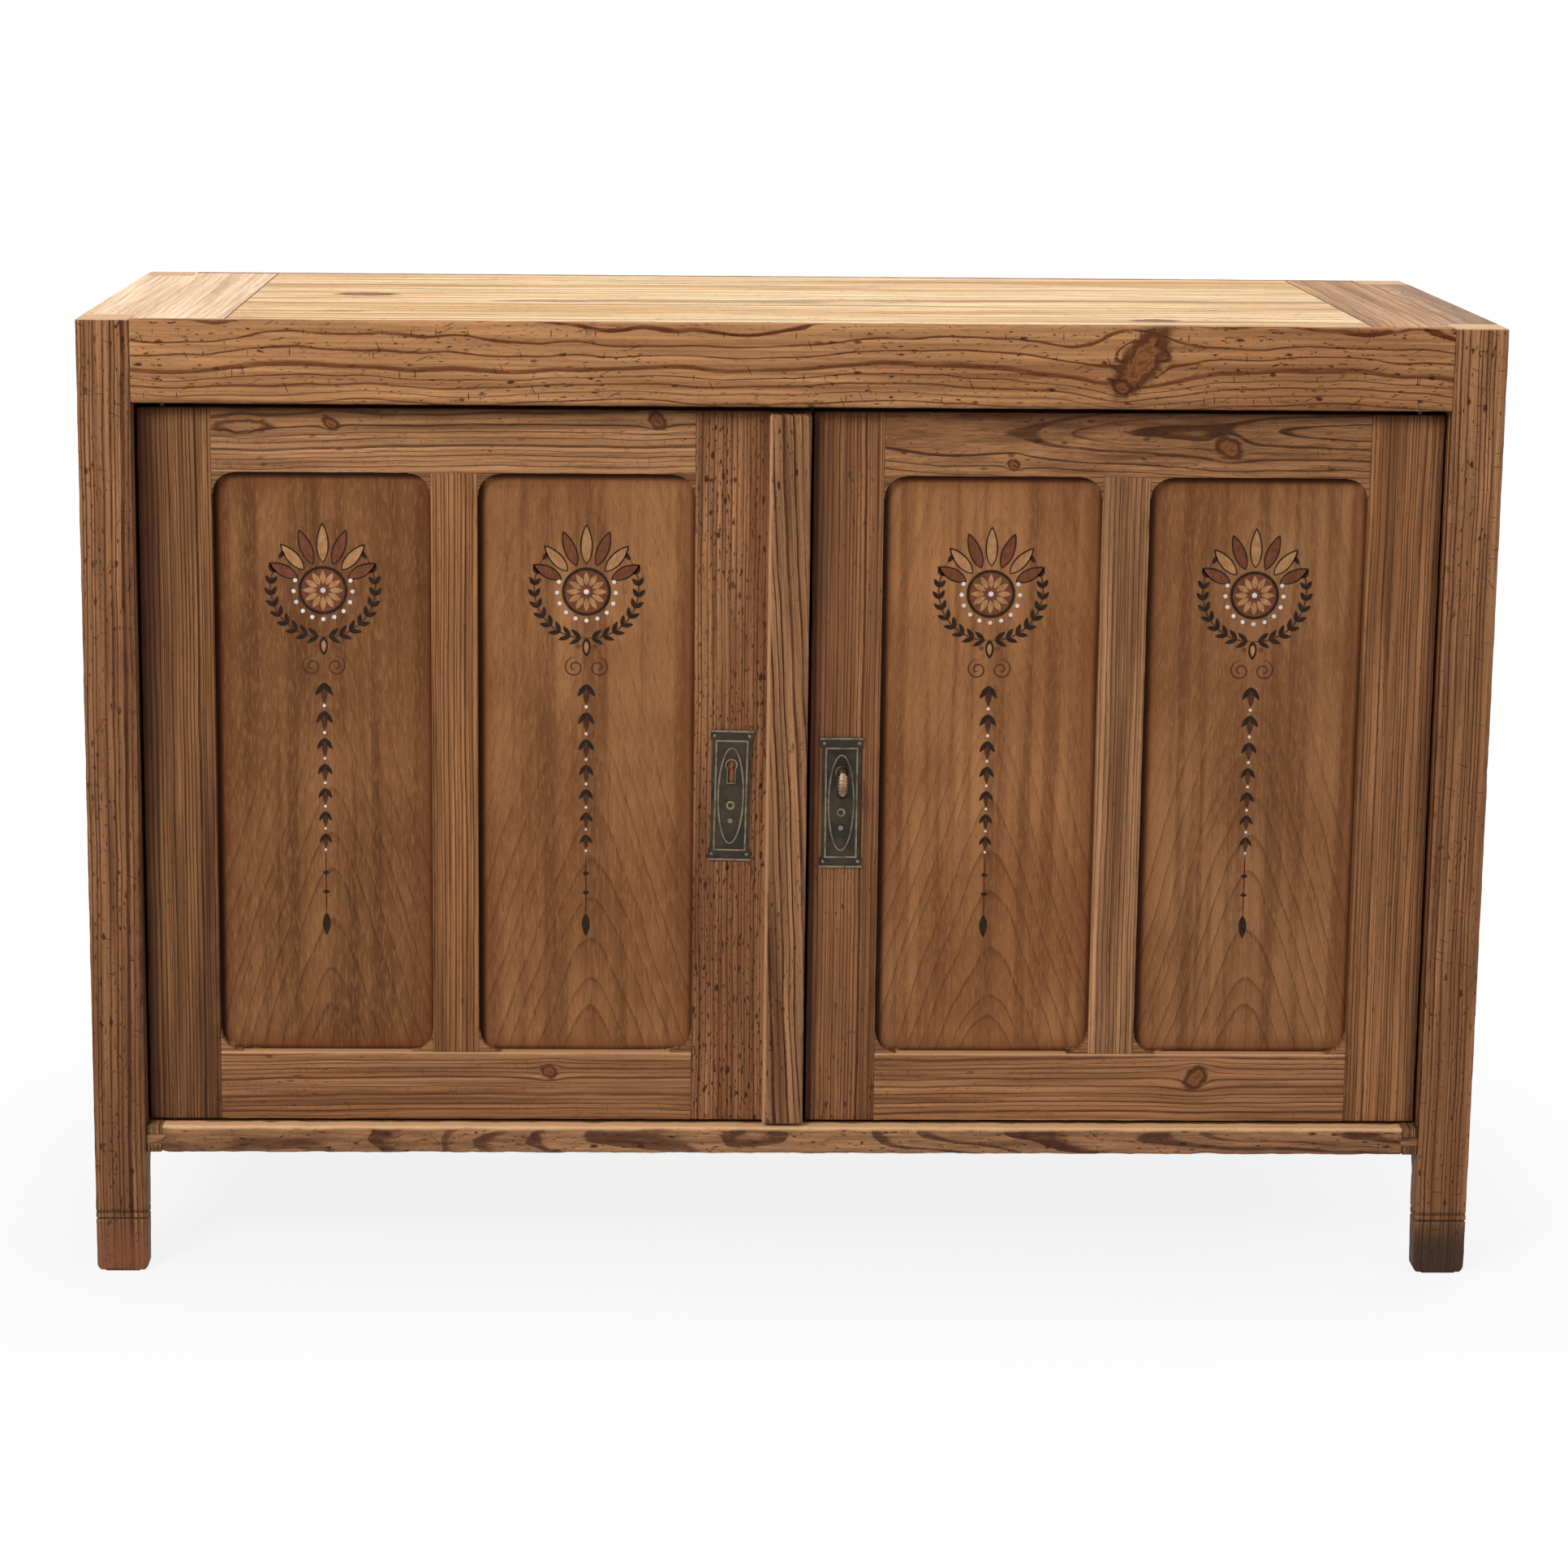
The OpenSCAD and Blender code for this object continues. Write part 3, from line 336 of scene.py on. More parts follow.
def make_knot_field():
    """One knot. Rings flow round it as a stream round a post: their distance changes by
    -y (R / r)**2 outside the radius R, r being the distance from the knot's middle. The knot itself is an
    oval, leaning and drawn out, with a dark bark rim and cracks that run outwards."""
    b, get, give = new_group("knot_field", "Place:Vector Centre:Vector Size Long Lean", "Bend Core Rim Mark")
    size = get["Size"]
    off = b.vector("SUBTRACT", get["Place"], get["Centre"])
    r = b.most(b.vector("LENGTH", b.vector("MULTIPLY", off, (0.7, 1, 0)), out=1), 0.0001)
    share = b.over(size, b.most(r, size))
    bend = b.times(b.times(b.axis(off, 1), -1.0), b.times(share, share))
    wobble = b.scaled(b.centred(get["Place"], (110, 110, 110), 4.0), b.times(size, 1.1))
    lean = b.put("VectorRotate", {"Vector": b.vector("ADD", off, wobble), "Angle": get["Lean"]},
                 rotation_type="Z_AXIS")
    oval = b.vector("MULTIPLY", lean, b.put("CombineXYZ", {0: get["Long"], 1: 1.0, 2: 0.0}))
    q = b.over(b.vector("LENGTH", oval, out=1), size)
    streak = b.noise(lean, (60, 420, 60), 3.0)
    rings = b.step(b.fraction(b.times_plus(streak, 1.4, b.times(q, 2.6))), 0.3, 0.95)
    b.fill(give, {"Bend": bend, "Core": b.step(q, 0.85, 1.2, 1.0, 0.0),
                  "Rim": b.times(b.step(q, 0.55, 1.0), b.step(q, 1.05, 1.5, 1.0, 0.0)),
                  "Mark": b.most(b.times(rings, 0.6), b.step(streak, 0.56, 0.66))})
    return b.tree


pine_rings = make_pine_rings()
knot_field = make_knot_field()
AXES = {"x": Vector((1, 0, 0)), "y": Vector((0, 1, 0)), "z": Vector((0, 0, 1))}


def new_finish(name):
    """Empty material with its bench, its main shader and the place on the object."""
    material = bpy.data.materials.new(name)
    material.use_nodes = True
    b = Bench(material.node_tree)
    return material, b, material.node_tree.nodes["Principled BSDF"], b.put("TexCoord", {}, "Object")


def pine(name, centre, along, across, heart, ring, pale, warm, dark, wave=0.002, tilt=(0, 0), early=0.72,
         line=0.85, grain=1.0, pits=0.5, scratch=0.3, bump=0.0007, knots=(), stains=(), pitch=-0.031,
         spread=0.0):
    """Old pine. heart is where the tree's heart lies from centre, across the face and along its normal.
    ring is the width of a ring, and early the share of it that stays pale. tilt is the slope of the heart
    line in both directions. line and grain are the contrasts of the rings and the fibres. knots are (point,
    radius, squeeze along their length, lean, share of the heartwood's colour, 0.9 if left out). stains are
    (axis, low, high, uneven, colour, share): a colour that fades in between two places along an axis.
    From one board of a piece to the next the heart moves across by pitch, and the tone by up to spread."""
    material, b, shader, where = new_finish(name)
    g, a = AXES[along], AXES[across]
    n = g.cross(a)
    origin = Vector(centre) + a * heart[0] + n * heart[1]
    g = (g + a * tilt[0] + n * tilt[1]).normalized()
    a = (a - g * a.dot(g)).normalized()
    turn = Matrix((g, a, g.cross(a)))
    place = b.put("Mapping", {"Vector": where, "Rotation": turn.to_euler(), "Location": -(turn @ origin)})
    board = b.put("Attribute", {}, 2, attribute_name="board")
    place = b.vector("ADD", place, b.scaled((0.43, -pitch, 0.017), board))
    bend, cores = 0.0, []
    for point, size, long, lean, *strength in knots:
        spot = turn @ (Vector(point) - origin)
        knot = b.put("Group", {"Place": place, "Centre": spot, "Size": size, "Long": long, "Lean": lean},
                     node_tree=knot_field).node.outputs
        bend = b.times_plus(knot["Bend"], 1.0 if spot.y > 0 else -1.0, bend)
        cores.append((knot, strength[0] if strength else 0.9))
    rings = b.put("Group", {
        "Place": place, "Bend": bend, "Ring": ring, "Early": early, "Wave": wave, "Line": line,
        "Grain": grain, "Pits": pits, "Scratch": scratch, "Pale": paint(*pale), "Warm": paint(*warm),
        "Dark": paint(*dark)}, node_tree=pine_rings).node.outputs
    color = rings["Color"]
    if spread:
        tone = b.put("TexWhiteNoise", {"W": board}, noise_dimensions="1D")
        color = b.shaded(color, b.times_plus(tone, 2 * spread, 1 - spread))
    for knot, strength in cores:
        heartwood = b.mix(knot["Mark"], paint(128, 80, 46), paint(66, 30, 14))
        color = b.mix(b.times(knot["Core"], strength), color, heartwood)
        color = b.mix(b.times(knot["Rim"], 0.75), color, paint(56, 27, 13))
    for axis, low, high, uneven, tint, share in stains:
        stray = b.minus(b.noise(where, (30, 30, 30), 3.0), 0.5)
        level = b.times_plus(stray, uneven, b.axis(where, "xyz".index(axis)))
        color = b.mix(b.step(level, low, high, 0.0, share), color, paint(*tint))
    relief = b.put("Bump", {"Height": rings["Tall"], "Distance": bump, "Strength": 0.7})
    b.fill(shader, {"Base Color": color, "Roughness": rings["Rough"], "Specular IOR Level": 0.08,
                    "Normal": relief})
    return material


def halfway(low, high):
    """Point halfway between two corners."""
    return tuple((p + q) / 2 for p, q in zip(low, high))


POST_LOW, POST_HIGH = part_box("post_front_left")
BASE_LOW, BASE_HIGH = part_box("base_front_rail")
post_wide, post_deep = POST_HIGH[0] - POST_LOW[0], POST_HIGH[1] - POST_LOW[1]
foot_deep, foot_top_deep, cove, foot_round = 0.021, 0.029, 0.030, 0.008
scribes, scribe_half, scribe_deep = (0.0635, 0.0565), 0.0007, 0.0013


def post_skin(node, front, seed):
    """Post: a square section whose depth grows up the foot, from 21 to 29 mm, then along a quarter cove to
    the full depth under the base frame. front says whether the post faces forwards."""
    low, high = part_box(node)
    cove_low = BASE_LOW[2] - cove
    cut_lines = [s + d for s in scribes for d in (-scribe_half, scribe_half)]
    beside = [s + d for s in scribes for d in (-0.0017, 0.0017)]
    z = np.unique(np.concatenate([np.linspace(low[2], 0.012, 8), np.linspace(cove_low, BASE_LOW[2], 10),
                                  np.linspace(0.012, high[2], 170), cut_lines, beside]))
    cut = np.clip((z - cove_low) / cove, 0, 1)
    deep = np.where(z < cove_low, foot_deep + (foot_top_deep - foot_deep) * z / cove_low,
                    post_deep - (post_deep - foot_top_deep) * np.sqrt(1 - cut ** 2))
    toe = np.maximum(foot_round - z, 0)
    narrow = foot_round - np.sqrt(np.maximum(foot_round ** 2 - toe ** 2, 0))
    groove = scribe_deep * np.isin(z, cut_lines)
    x0, x1 = low[0] + narrow + groove, high[0] - narrow - groove
    y0 = np.where(front, low[1] + 0 * z, high[1] - deep) + groove
    y1 = np.where(front, low[1] + deep, high[1] + 0 * z) - groove
    outline = np.stack([np.stack(corner, 1) for corner in ((x0, y0), (x1, y0), (x1, y1), (x0, y1))], 1)
    return board_skin("z", z, outline, arris=0.0018, wear=0.55, knocks=1.6, seed=seed, grooves=cut_lines)


# Each row: seed, worm holes, heart, pale, warm and dark wood, height of the wet part, its colour and share.
post_looks = {
    "front_left": (11, 1.25, (0.16, 0.05), (152, 107, 72), (127, 85, 55), (52, 23, 10),
                   0.066, (132, 80, 58), 0.6),
    "front_right": (23, 1.0, (-0.17, 0.06), (168, 120, 82), (140, 95, 62), (56, 25, 11),
                    0.075, (56, 44, 36), 0.85),
    "rear_left": (37, 1.0, (0.2, 0.08), (138, 96, 60), (122, 82, 50), (76, 44, 27), 0.09, (84, 58, 44), 0.6),
    "rear_right": (41, 1.0, (0.2, -0.08), (138, 96, 60), (122, 82, 50), (76, 44, 27), 0.09, (74, 52, 42), 0.6),
}
for corner, (seed, pits, heart, pale, warm, dark, wet, foot, share) in post_looks.items():
    node = "post_" + corner
    low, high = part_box(node)
    stains = [("z", 0.88, 0.60, 0.2, (84, 50, 30), 0.24), ("z", wet, wet - 0.05, 0.03, foot, share),
              ("z", high[2] - 0.0012, high[2] - 0.0006, 0.0, (208, 168, 128), 0.8)]
    finish = pine(
        node, halfway(low, high), "z", "x", heart, 0.0055, pale, warm, dark, wave=0.0008,
        tilt=(0.004, 0.01), line=1.0, early=0.58, pits=pits, scratch=0.8, stains=stains)
    dress(node, [post_skin(node, "front" in corner, seed)], finish)

# Front beam and rear top rail. A heavy pine beam joins the front posts, flush with them, with a thin lip in
# front of the top boards. Its face shows wide wavy rings and one big knot. The rear rail mirrors it.

TOP_LOW, TOP_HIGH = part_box("top_planks")
inner_left, inner_right = POST_HIGH[0], -POST_HIGH[0]
face_y = POST_LOW[1]


def beam_skin(node, front, seed):
    """Beam: an L section, the lip standing before the top boards, carried from post to post."""
    (_, y0, z0), (_, y1, z1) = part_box(node)
    lip, deck = (TOP_LOW[1] if front else TOP_HIGH[1]), TOP_LOW[2]
    if front:
        section = [[y0, z0], [y1, z0], [y1, deck], [lip, deck], [lip, z1], [y0, z1]]
    else:
        section = [[y0, z0], [y1, z0], [y1, z1], [lip, z1], [lip, deck], [y0, deck]]
    x = np.linspace(inner_left, inner_right, 260)
    return board_skin("x", x, np.tile(section, (len(x), 1, 1)), arris=0.0016, wear=0.6, knocks=2.2, seed=seed)


beam_knots = [((0.340, face_y, 0.940), 0.0150, 0.44, -0.95), ((0.321, face_y, 0.915), 0.006, 0.7, 0.4)]
beam_finish = pine(
    "beam", (0, face_y, 0.934), "x", "z", (0.050, -0.045), 0.0078, (174, 126, 84), (153, 106, 68),
    (82, 36, 12), wave=0.0040, tilt=(0.0, 0.004), line=1.0, grain=0.8, early=0.76, pits=1.1, scratch=1.0,
    knots=beam_knots, stains=[("z", 0.9, 0.894, 0.01, (84, 52, 31), 0.5)])
dress("front_beam", [beam_skin("front_beam", True, 5)], beam_finish)
rear_finish = pine(
    "rear_rail", (0.2, -face_y, 0.934), "x", "z", (-0.07, 0.03), 0.007, (150, 108, 72), (132, 92, 60),
    (84, 52, 34), wave=0.004, tilt=(0.01, 0.0))
dress("rear_top_rail", [beam_skin("rear_top_rail", False, 6)], rear_finish)

# Top. Five long planks of different widths lie between two end boards that run front to back and are
# notched round the posts. The old surface is sanded pale and shows long streaks and open seams.


def board_row(node, cuts, across, along, seam=0.0004, edge=0.0, seed=0, **finish):
    """Boards side by side, between the cuts given as shares of the node's size across them. seam is the gap
    between two of them, and edge what the outer ones lose at the outside."""
    low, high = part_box(node)
    a, last = "xyz".index(across), len(cuts) - 2
    skins = []
    for k in range(last + 1):
        start, stop = list(low), list(high)
        start[a] = low[a] + (high[a] - low[a]) * cuts[k] + (seam / 2 if k else edge)
        stop[a] = low[a] + (high[a] - low[a]) * cuts[k + 1] - (seam / 2 if k < last else edge)
        skins.append(plain_board(start, stop, along, seed=seed + k, **finish))
    return skins


def end_board_skin(node):
    """End board: its plan, a rectangle with both outer corners notched for the posts, carried upwards."""
    (x0, y0, z0), (x1, y1, z1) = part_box(node)
    play = 0.0002
    front_in, rear_in = POST_HIGH[1] + play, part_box("post_rear_left")[0][1] - play
    inner, outer, notch = (x1, x0, x0 + post_wide + play) if x0 < 0 else (x0, x1, x1 - post_wide - play)
    plan = np.array([[inner, y0], [notch, y0], [notch, front_in], [outer, front_in], [outer, rear_in],
                     [notch, rear_in], [notch, y1], [inner, y1]])
    plan = plan[::-1] if x0 < 0 else plan
    return board_skin("z", np.linspace(z0, z1, 4), np.tile(plan, (4, 1, 1)), arris=0.0011, wear=0, knocks=0)


top_z = TOP_HIGH[2]
top_knots = [((x, y, 0.975), size, long, 0) for x, y, size, long in (
    (0.36, -0.19, 0.010, 0.5), (-0.25, 0.02, 0.010, 0.35), (0.42, 0.1, 0.013, 0.5), (-0.1, 0.16, 0.010, 0.5),
    (-0.02, -0.12, 0.008, 0.3), (0.2, 0.0, 0.008, 0.3))]
top_finish = pine(
    "top_planks", (0, 0, top_z), "x", "y", (0.02, -0.06), 0.011, (238, 206, 161), (206, 163, 110),
    (104, 58, 26), wave=0.0026, tilt=(0.02, 0.012), line=0.75, early=0.68, pits=0.8, scratch=0.15,
    bump=0.0004, knots=top_knots)
dress("top_planks", board_row("top_planks", (0, 0.16, 0.39, 0.60, 0.79, 1), "y", "x", arris=0.0010, seed=60),
      top_finish)
end_left = pine(
    "top_end_left", (-0.62, 0, top_z), "y", "x", (0.1, 0.05), 0.007, (230, 200, 166), (214, 181, 146),
    (164, 120, 90), wave=0.003, line=0.45, grain=0.8, pits=0.6, scratch=0.5,
    stains=[("x", TOP_LOW[0] - 0.0022, TOP_LOW[0] - 0.0008, 0.0006, (92, 56, 32), 0.85)])
dress("top_end_board_left", [end_board_skin("top_end_board_left")], end_left)
end_right = pine(
    "top_end_right", (0.62, 0, top_z), "y", "x", (0.08, 0.05), 0.007, (190, 148, 106), (160, 118, 80),
    (88, 52, 30), wave=0.004, line=0.7, pits=0.8, scratch=0.5,
    stains=[("x", TOP_HIGH[0] + 0.0022, TOP_HIGH[0] + 0.0008, 0.0006, (84, 50, 30), 0.85),
            ("x", 0.646, 0.684, 0.04, (108, 78, 54), 0.65)])
dress("top_end_board_right", [end_board_skin("top_end_board_right")], end_right)

# Base frame. Slim rails between the feet, comb-jointed at the corners: the side members end in two prongs
# that hold the front rail's tongue. The front rail is cut from the log's side and has big brown patches.

base_pale, base_warm, base_dark = (160, 117, 82), (138, 97, 67), (70, 38, 27)
base_top, base_deep = BASE_HIGH[2], BASE_HIGH[1] - BASE_LOW[1]
prong = (base_top - BASE_LOW[2]) / 3
side_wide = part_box("base_side_left")[1][0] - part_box("base_side_left")[0][0]


def base_rail_skins(node, seed):
    """Rail with a tongue at each end, as two boards: the rail and the tongue through it."""
    (_, y0, z0), (_, y1, z1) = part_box(node)
    rail = plain_board((inner_left + side_wide, y0, z0), (inner_right - side_wide, y1, z1), "x", arris=0.0022,
                       wear=0.8, seed=seed)
    tongue = plain_board((inner_left, y0 + 0.0002, z0 + prong), (inner_right, y1 - 0.0002, z1 - prong), "x",
                         arris=0.0007, seed=seed + 1)
    return [rail, tongue]


# The pale band along the front rail's top edge is partly wear and partly a painted highlight where light from
# above falls on it.
base_finish = pine(
    "base_rail", (0, BASE_LOW[1], 0.14), "x", "z", (0.006, -0.05), 0.0062, base_pale, base_warm,
    base_dark, wave=0.0045, tilt=(0.01, 0.060), line=1.0, early=0.62, pits=1.3, scratch=0.7, bump=0.0006,
    stains=[("z", base_top - 0.005, base_top - 0.001, 0.004, (222, 176, 130), 0.9)])
dress("base_front_rail", base_rail_skins("base_front_rail", 81), base_finish)
base_plain = pine(
    "base_plain", (0, -BASE_LOW[1], 0.14), "x", "z", (0.05, 0.04), 0.006, base_pale, base_warm, base_dark,
    wave=0.004)
dress("base_rear_rail", base_rail_skins("base_rear_rail", 85), base_plain)
side_member = pine(
    "base_side", (0, 0, 0.14), "y", "x", (0.3, 0.02), 0.0038, base_pale, base_warm, (52, 28, 18),
    wave=0.001, line=1.0, early=0.4,
    stains=[("y", BASE_LOW[1] + 0.0022, BASE_LOW[1] + 0.0008, 0.0, (72, 44, 28), 0.35)])
for side in ("left", "right"):
    (x0, y0, z0), (x1, y1, z1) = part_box("base_side_" + side)
    skins = [plain_board((x0, y0 + base_deep, z0), (x1, y1 - base_deep, z1), "y", seed=91)]
    for front, back in ((y0, y0 + base_deep), (y1 - base_deep, y1)):
        for under, over in ((z0, z0 + prong), (z1 - prong, z1)):
            skins.append(plain_board((x0, front, under), (x1, back, over), "y", 0.004, arris=0.0009, seed=92))
    dress("base_side_" + side, skins, side_member)

# Sides, back, bottom and shelf. Rails between the posts hold upright boards; the back is eight thin boards
# in grooves. Inside, planks of darker, dull pine make the bottom and the one shelf.

for side, seed in (("left", 100), ("right", 104)):
    for level, heart in (("top", (0.06, 0.04)), ("bottom", (-0.06, 0.05))):
        node = f"side_{level}_rail_{side}"
        (x0, _, z0), (x1, _, z1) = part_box(node)
        finish = pine(node, (x0, 0, (z0 + z1) / 2), "y", "z", heart, 0.006, (148, 106, 70), (130, 90, 58),
                      (80, 50, 33), wave=0.004, pits=0.4)
        shown = (x0, POST_HIGH[1], z0), (x1, -POST_HIGH[1] + 0.014, z1)
        dress(node, [plain_board(*shown, "y", arris=0.0014, seed=seed)], finish)
upright = dict(step=0.02, seam=0.0006, edge=0.0003)
low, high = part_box("back_boards")
wide = (high[0] - low[0]) / 8
back_finish = pine(
    "dull_boards", (low[0] + wide / 2, high[1], 0.5), "z", "x", (0.012, -0.05), 0.0042, (136, 98, 66),
    (118, 83, 55), (82, 52, 33), wave=0.0010, tilt=(0.004, 0.016), line=0.7, scratch=0.2, pitch=wide,
    spread=0.12)
low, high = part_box("side_boards_left")
wide = (high[1] - low[1]) / 3
side_finish = pine(
    "side_boards", (0, low[1] + wide / 2, 0.5), "z", "y", (0.010, 0.045), 0.0042, (152, 109, 72),
    (132, 92, 60), (88, 54, 33), wave=0.0010, tilt=(0.004, 0.020), line=0.7, pits=0.6, scratch=0.4,
    pitch=wide, spread=0.08)
for node in ("side_boards_left", "side_boards_right"):
    dress(node, board_row(node, np.linspace(0, 1, 4), "y", "z", **upright), side_finish)
dress("back_boards", board_row("back_boards", np.linspace(0, 1, 9), "x", "z", **upright), back_finish)
low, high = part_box("rear_bottom_rail")
dress("rear_bottom_rail", [plain_board((inner_left, low[1], low[2]), (inner_right, high[1], high[2]), "x",
                                       seed=120)], rear_finish)
inside_finish = pine(
    "inside_boards", (0, 0, 0.3), "x", "y", (0.1, 0.15), 0.006, (120, 86, 58), (102, 72, 48),
    (66, 44, 30), wave=0.004, pits=0.3, scratch=0.2, spread=0.1)
for node, count in (("bottom_boards", 4), ("shelf_boards", 3)):
    dress(node, board_row(node, np.linspace(0, 1, count + 1), "y", "x", step=0.02, seed=130), inside_finish)


def keep_node(node, finish, arris=0.001):
    """Keeps a CAD node, with its arrises eased by a small bevel, and gives it a finish."""
    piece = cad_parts[node]
    for slot in piece.material_slots:
        slot.material = finish
    weld = piece.modifiers.new("weld", "WELD")
    weld.merge_threshold = 0.00001
    if arris:
        bevel = piece.modifiers.new("arris", "BEVEL")
        bevel.width = arris
        bevel.segments = 2
        bevel.limit_method = "ANGLE"
        bevel.angle_limit = math.radians(40)


for node in ("bottom_cleats", "top_bearers", "shelf_cleats", "shelf_front_rail", "door_stop_rail",
             "base_pegs"):
    keep_node(node, inside_finish)

# Doors. Each is a mortised frame of a broad hinge stile, a lock stile, two rails and a muntin between the
# two panels. The stiles are straight-grained, the top rails show flame grain and small knots.

door_y = -0.225
# Each row: heart, ring width, pale, warm and dark wood, wave, tilt and the share of a ring that stays pale.
# The last entry is the amount of worm holes of a stile, or the knots of a rail.
stile_looks = {
    "left_hinge_stile": ((0.3, 0.1), 0.0036, (138, 95, 61), (93, 60, 38), (42, 20, 9),
                         0.0006, (0, 0), 0.6, 0.5),
    "left_lock_stile": ((-0.25, 0.08), 0.0042, (156, 109, 73), (112, 70, 44), (56, 26, 12),
                        0.0008, (0, 0), 0.66, 1.75),
    "left_muntin": ((0.2, 0.05), 0.0040, (152, 105, 66), (112, 71, 43), (58, 28, 13),
                    0.0006, (0, 0), 0.6, 0.4),
    "right_lock_stile": ((0.3, 0.09), 0.0036, (148, 101, 67), (112, 73, 47), (62, 31, 17),
                         0.0006, (0, 0), 0.62, 0.8),
    "right_muntin": ((0.22, -0.05), 0.0040, (174, 128, 90), (132, 92, 62), (68, 34, 17),
                     0.0006, (0, 0), 0.6, 0.3),
    "right_hinge_stile": ((-0.28, 0.1), 0.0042, (156, 108, 71), (114, 74, 46), (56, 28, 13),
                          0.0008, (0, 0), 0.6, 0.4),
}
rail_looks = {
    "left_top_rail": ((0.040, 0.030), 0.0054, (170, 123, 84), (138, 95, 61), (50, 22, 8),
                      0.0022, (0.01, 0), 0.76, [((-0.455, door_y, 0.872), 0.0045, 0.6, 0.5),
                                                ((-0.134, door_y, 0.877), 0.006, 0.7, 0.8),
                                                ((-0.541, door_y, 0.868), 0.0055, 0.22, 0, 0.2)]),
    "right_top_rail": ((0.014, 0.03), 0.0066, (158, 112, 75), (132, 90, 59), (44, 19, 7),
                       0.0022, (0, -0.070), 0.78, [((0.219, door_y, 0.835), 0.0045, 0.9, 0),
                                                   ((0.432, door_y, 0.853), 0.0085, 0.7, 0.6)]),
    "left_bottom_rail": ((0.10, 0.04), 0.0052, (150, 106, 71), (129, 88, 57), (74, 37, 17),
                         0.0016, (0.004, 0), 0.7, [((-0.240, door_y, 0.208), 0.0055, 0.8, 0.4)]),
    "right_bottom_rail": ((0.075, 0.035), 0.0056, (156, 110, 74), (134, 91, 60), (78, 38, 17),
                          0.0018, (0, 0.01), 0.7, [((0.420, door_y, 0.203), 0.0085, 0.7, -0.9)]),
}
# painted_shade is a painted shadow on the doors: under the beam, beside the posts and right of the cover
# strip.
painted_shade = (46, 22, 10)
beam_shade = ("z", 0.868, 0.888, 0.008, painted_shade, 0.7)
# Pale band along the bottom rails' top edges: a painted highlight where light catches them.
painted_rail_highlight = ("z", 0.2245, 0.2275, 0.002, (206, 156, 112), 0.75)
# Painted shadow along door edges that the posts and the cover strip shade.
edge_painted_shade = {
    "left_hinge_stile": [("x", -0.628, -0.645, 0.004, painted_shade, 0.7)],
    "right_lock_stile": [("x", 0.034, 0.022, 0.003, painted_shade, 0.7)],
    "right_hinge_stile": [("x", 0.628, 0.646, 0.004, painted_shade, 0.5)],
}
eased = dict(arris=0.0010, knocks=1.2)
for side in ("left", "right"):
    body = side + "_door"
    hinge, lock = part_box(side + "_hinge_stile"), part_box(side + "_lock_stile")
    x0, x1 = (hinge[1][0], lock[0][0]) if side == "left" else (lock[1][0], hinge[0][0])
    z0, z1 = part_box(side + "_bottom_rail")[1][2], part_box(side + "_top_rail")[0][2]
    for part in ("hinge_stile", "lock_stile", "muntin"):
        node = f"{side}_{part}"
        low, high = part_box(node)
        if part == "muntin":
            low, high = (low[0], low[1], z0), (high[0], high[1], z1)
        *look, pits = stile_looks[node]
        finish = pine(node, halfway(low, high), "z", "x", *look, pits=pits, scratch=0.15,
                      stains=[beam_shade] + edge_painted_shade.get(node, []))
        dress(node, [plain_board(low, high, "z", seed=200 + len(part), **eased)], finish, body)
    for part, stain in (("top_rail", beam_shade), ("bottom_rail", painted_rail_highlight)):
        node = f"{side}_{part}"
        low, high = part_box(node)
        low, high = (x0, low[1], low[2]), (x1, high[1], high[2])
        *look, knots = rail_looks[node]
        finish = pine(
            node, halfway(low, high), "x", "z", *look, pits=0.7, scratch=0.4, knots=knots, stains=[stain])
        dress(node, [plain_board(low, high, "x", seed=220, **eased)], finish, body)
    finish = pine(side + "_corners", (0, door_y, 0.5), "x", "z", (0.2, 0.05), 0.004, (146, 102, 68),
                  (124, 84, 54), (76, 46, 28))
    keep_node(side + "_corner_blocks", finish, 0.0006)

# Cover strip. A light pine strip with rounded front edges is planted on the left door and covers the gap.
# It was cut across the grain, so its rings run down it on the slant.

low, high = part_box("cover_strip")
# The pale band along the strip's left edge is a painted highlight where light from the left falls on it.
strip_finish = pine(
    "cover_strip", halfway(low, high), "z", "x", (0.1, 0.03), 0.0070, (152, 109, 75), (128, 87, 58),
    (54, 24, 10), wave=0.0016, tilt=(-0.052, 0.0), line=1.0, early=0.68, pits=1.2, scratch=0.5,
    stains=[("x", low[0] + 0.0042, low[0] + 0.0016, 0.003, (188, 142, 102), 0.7)])
dress("cover_strip", [plain_board(low, high, "z", arris=0.0024, wear=0.4, knocks=1.0, seed=240)],
      strip_finish, "left_door")
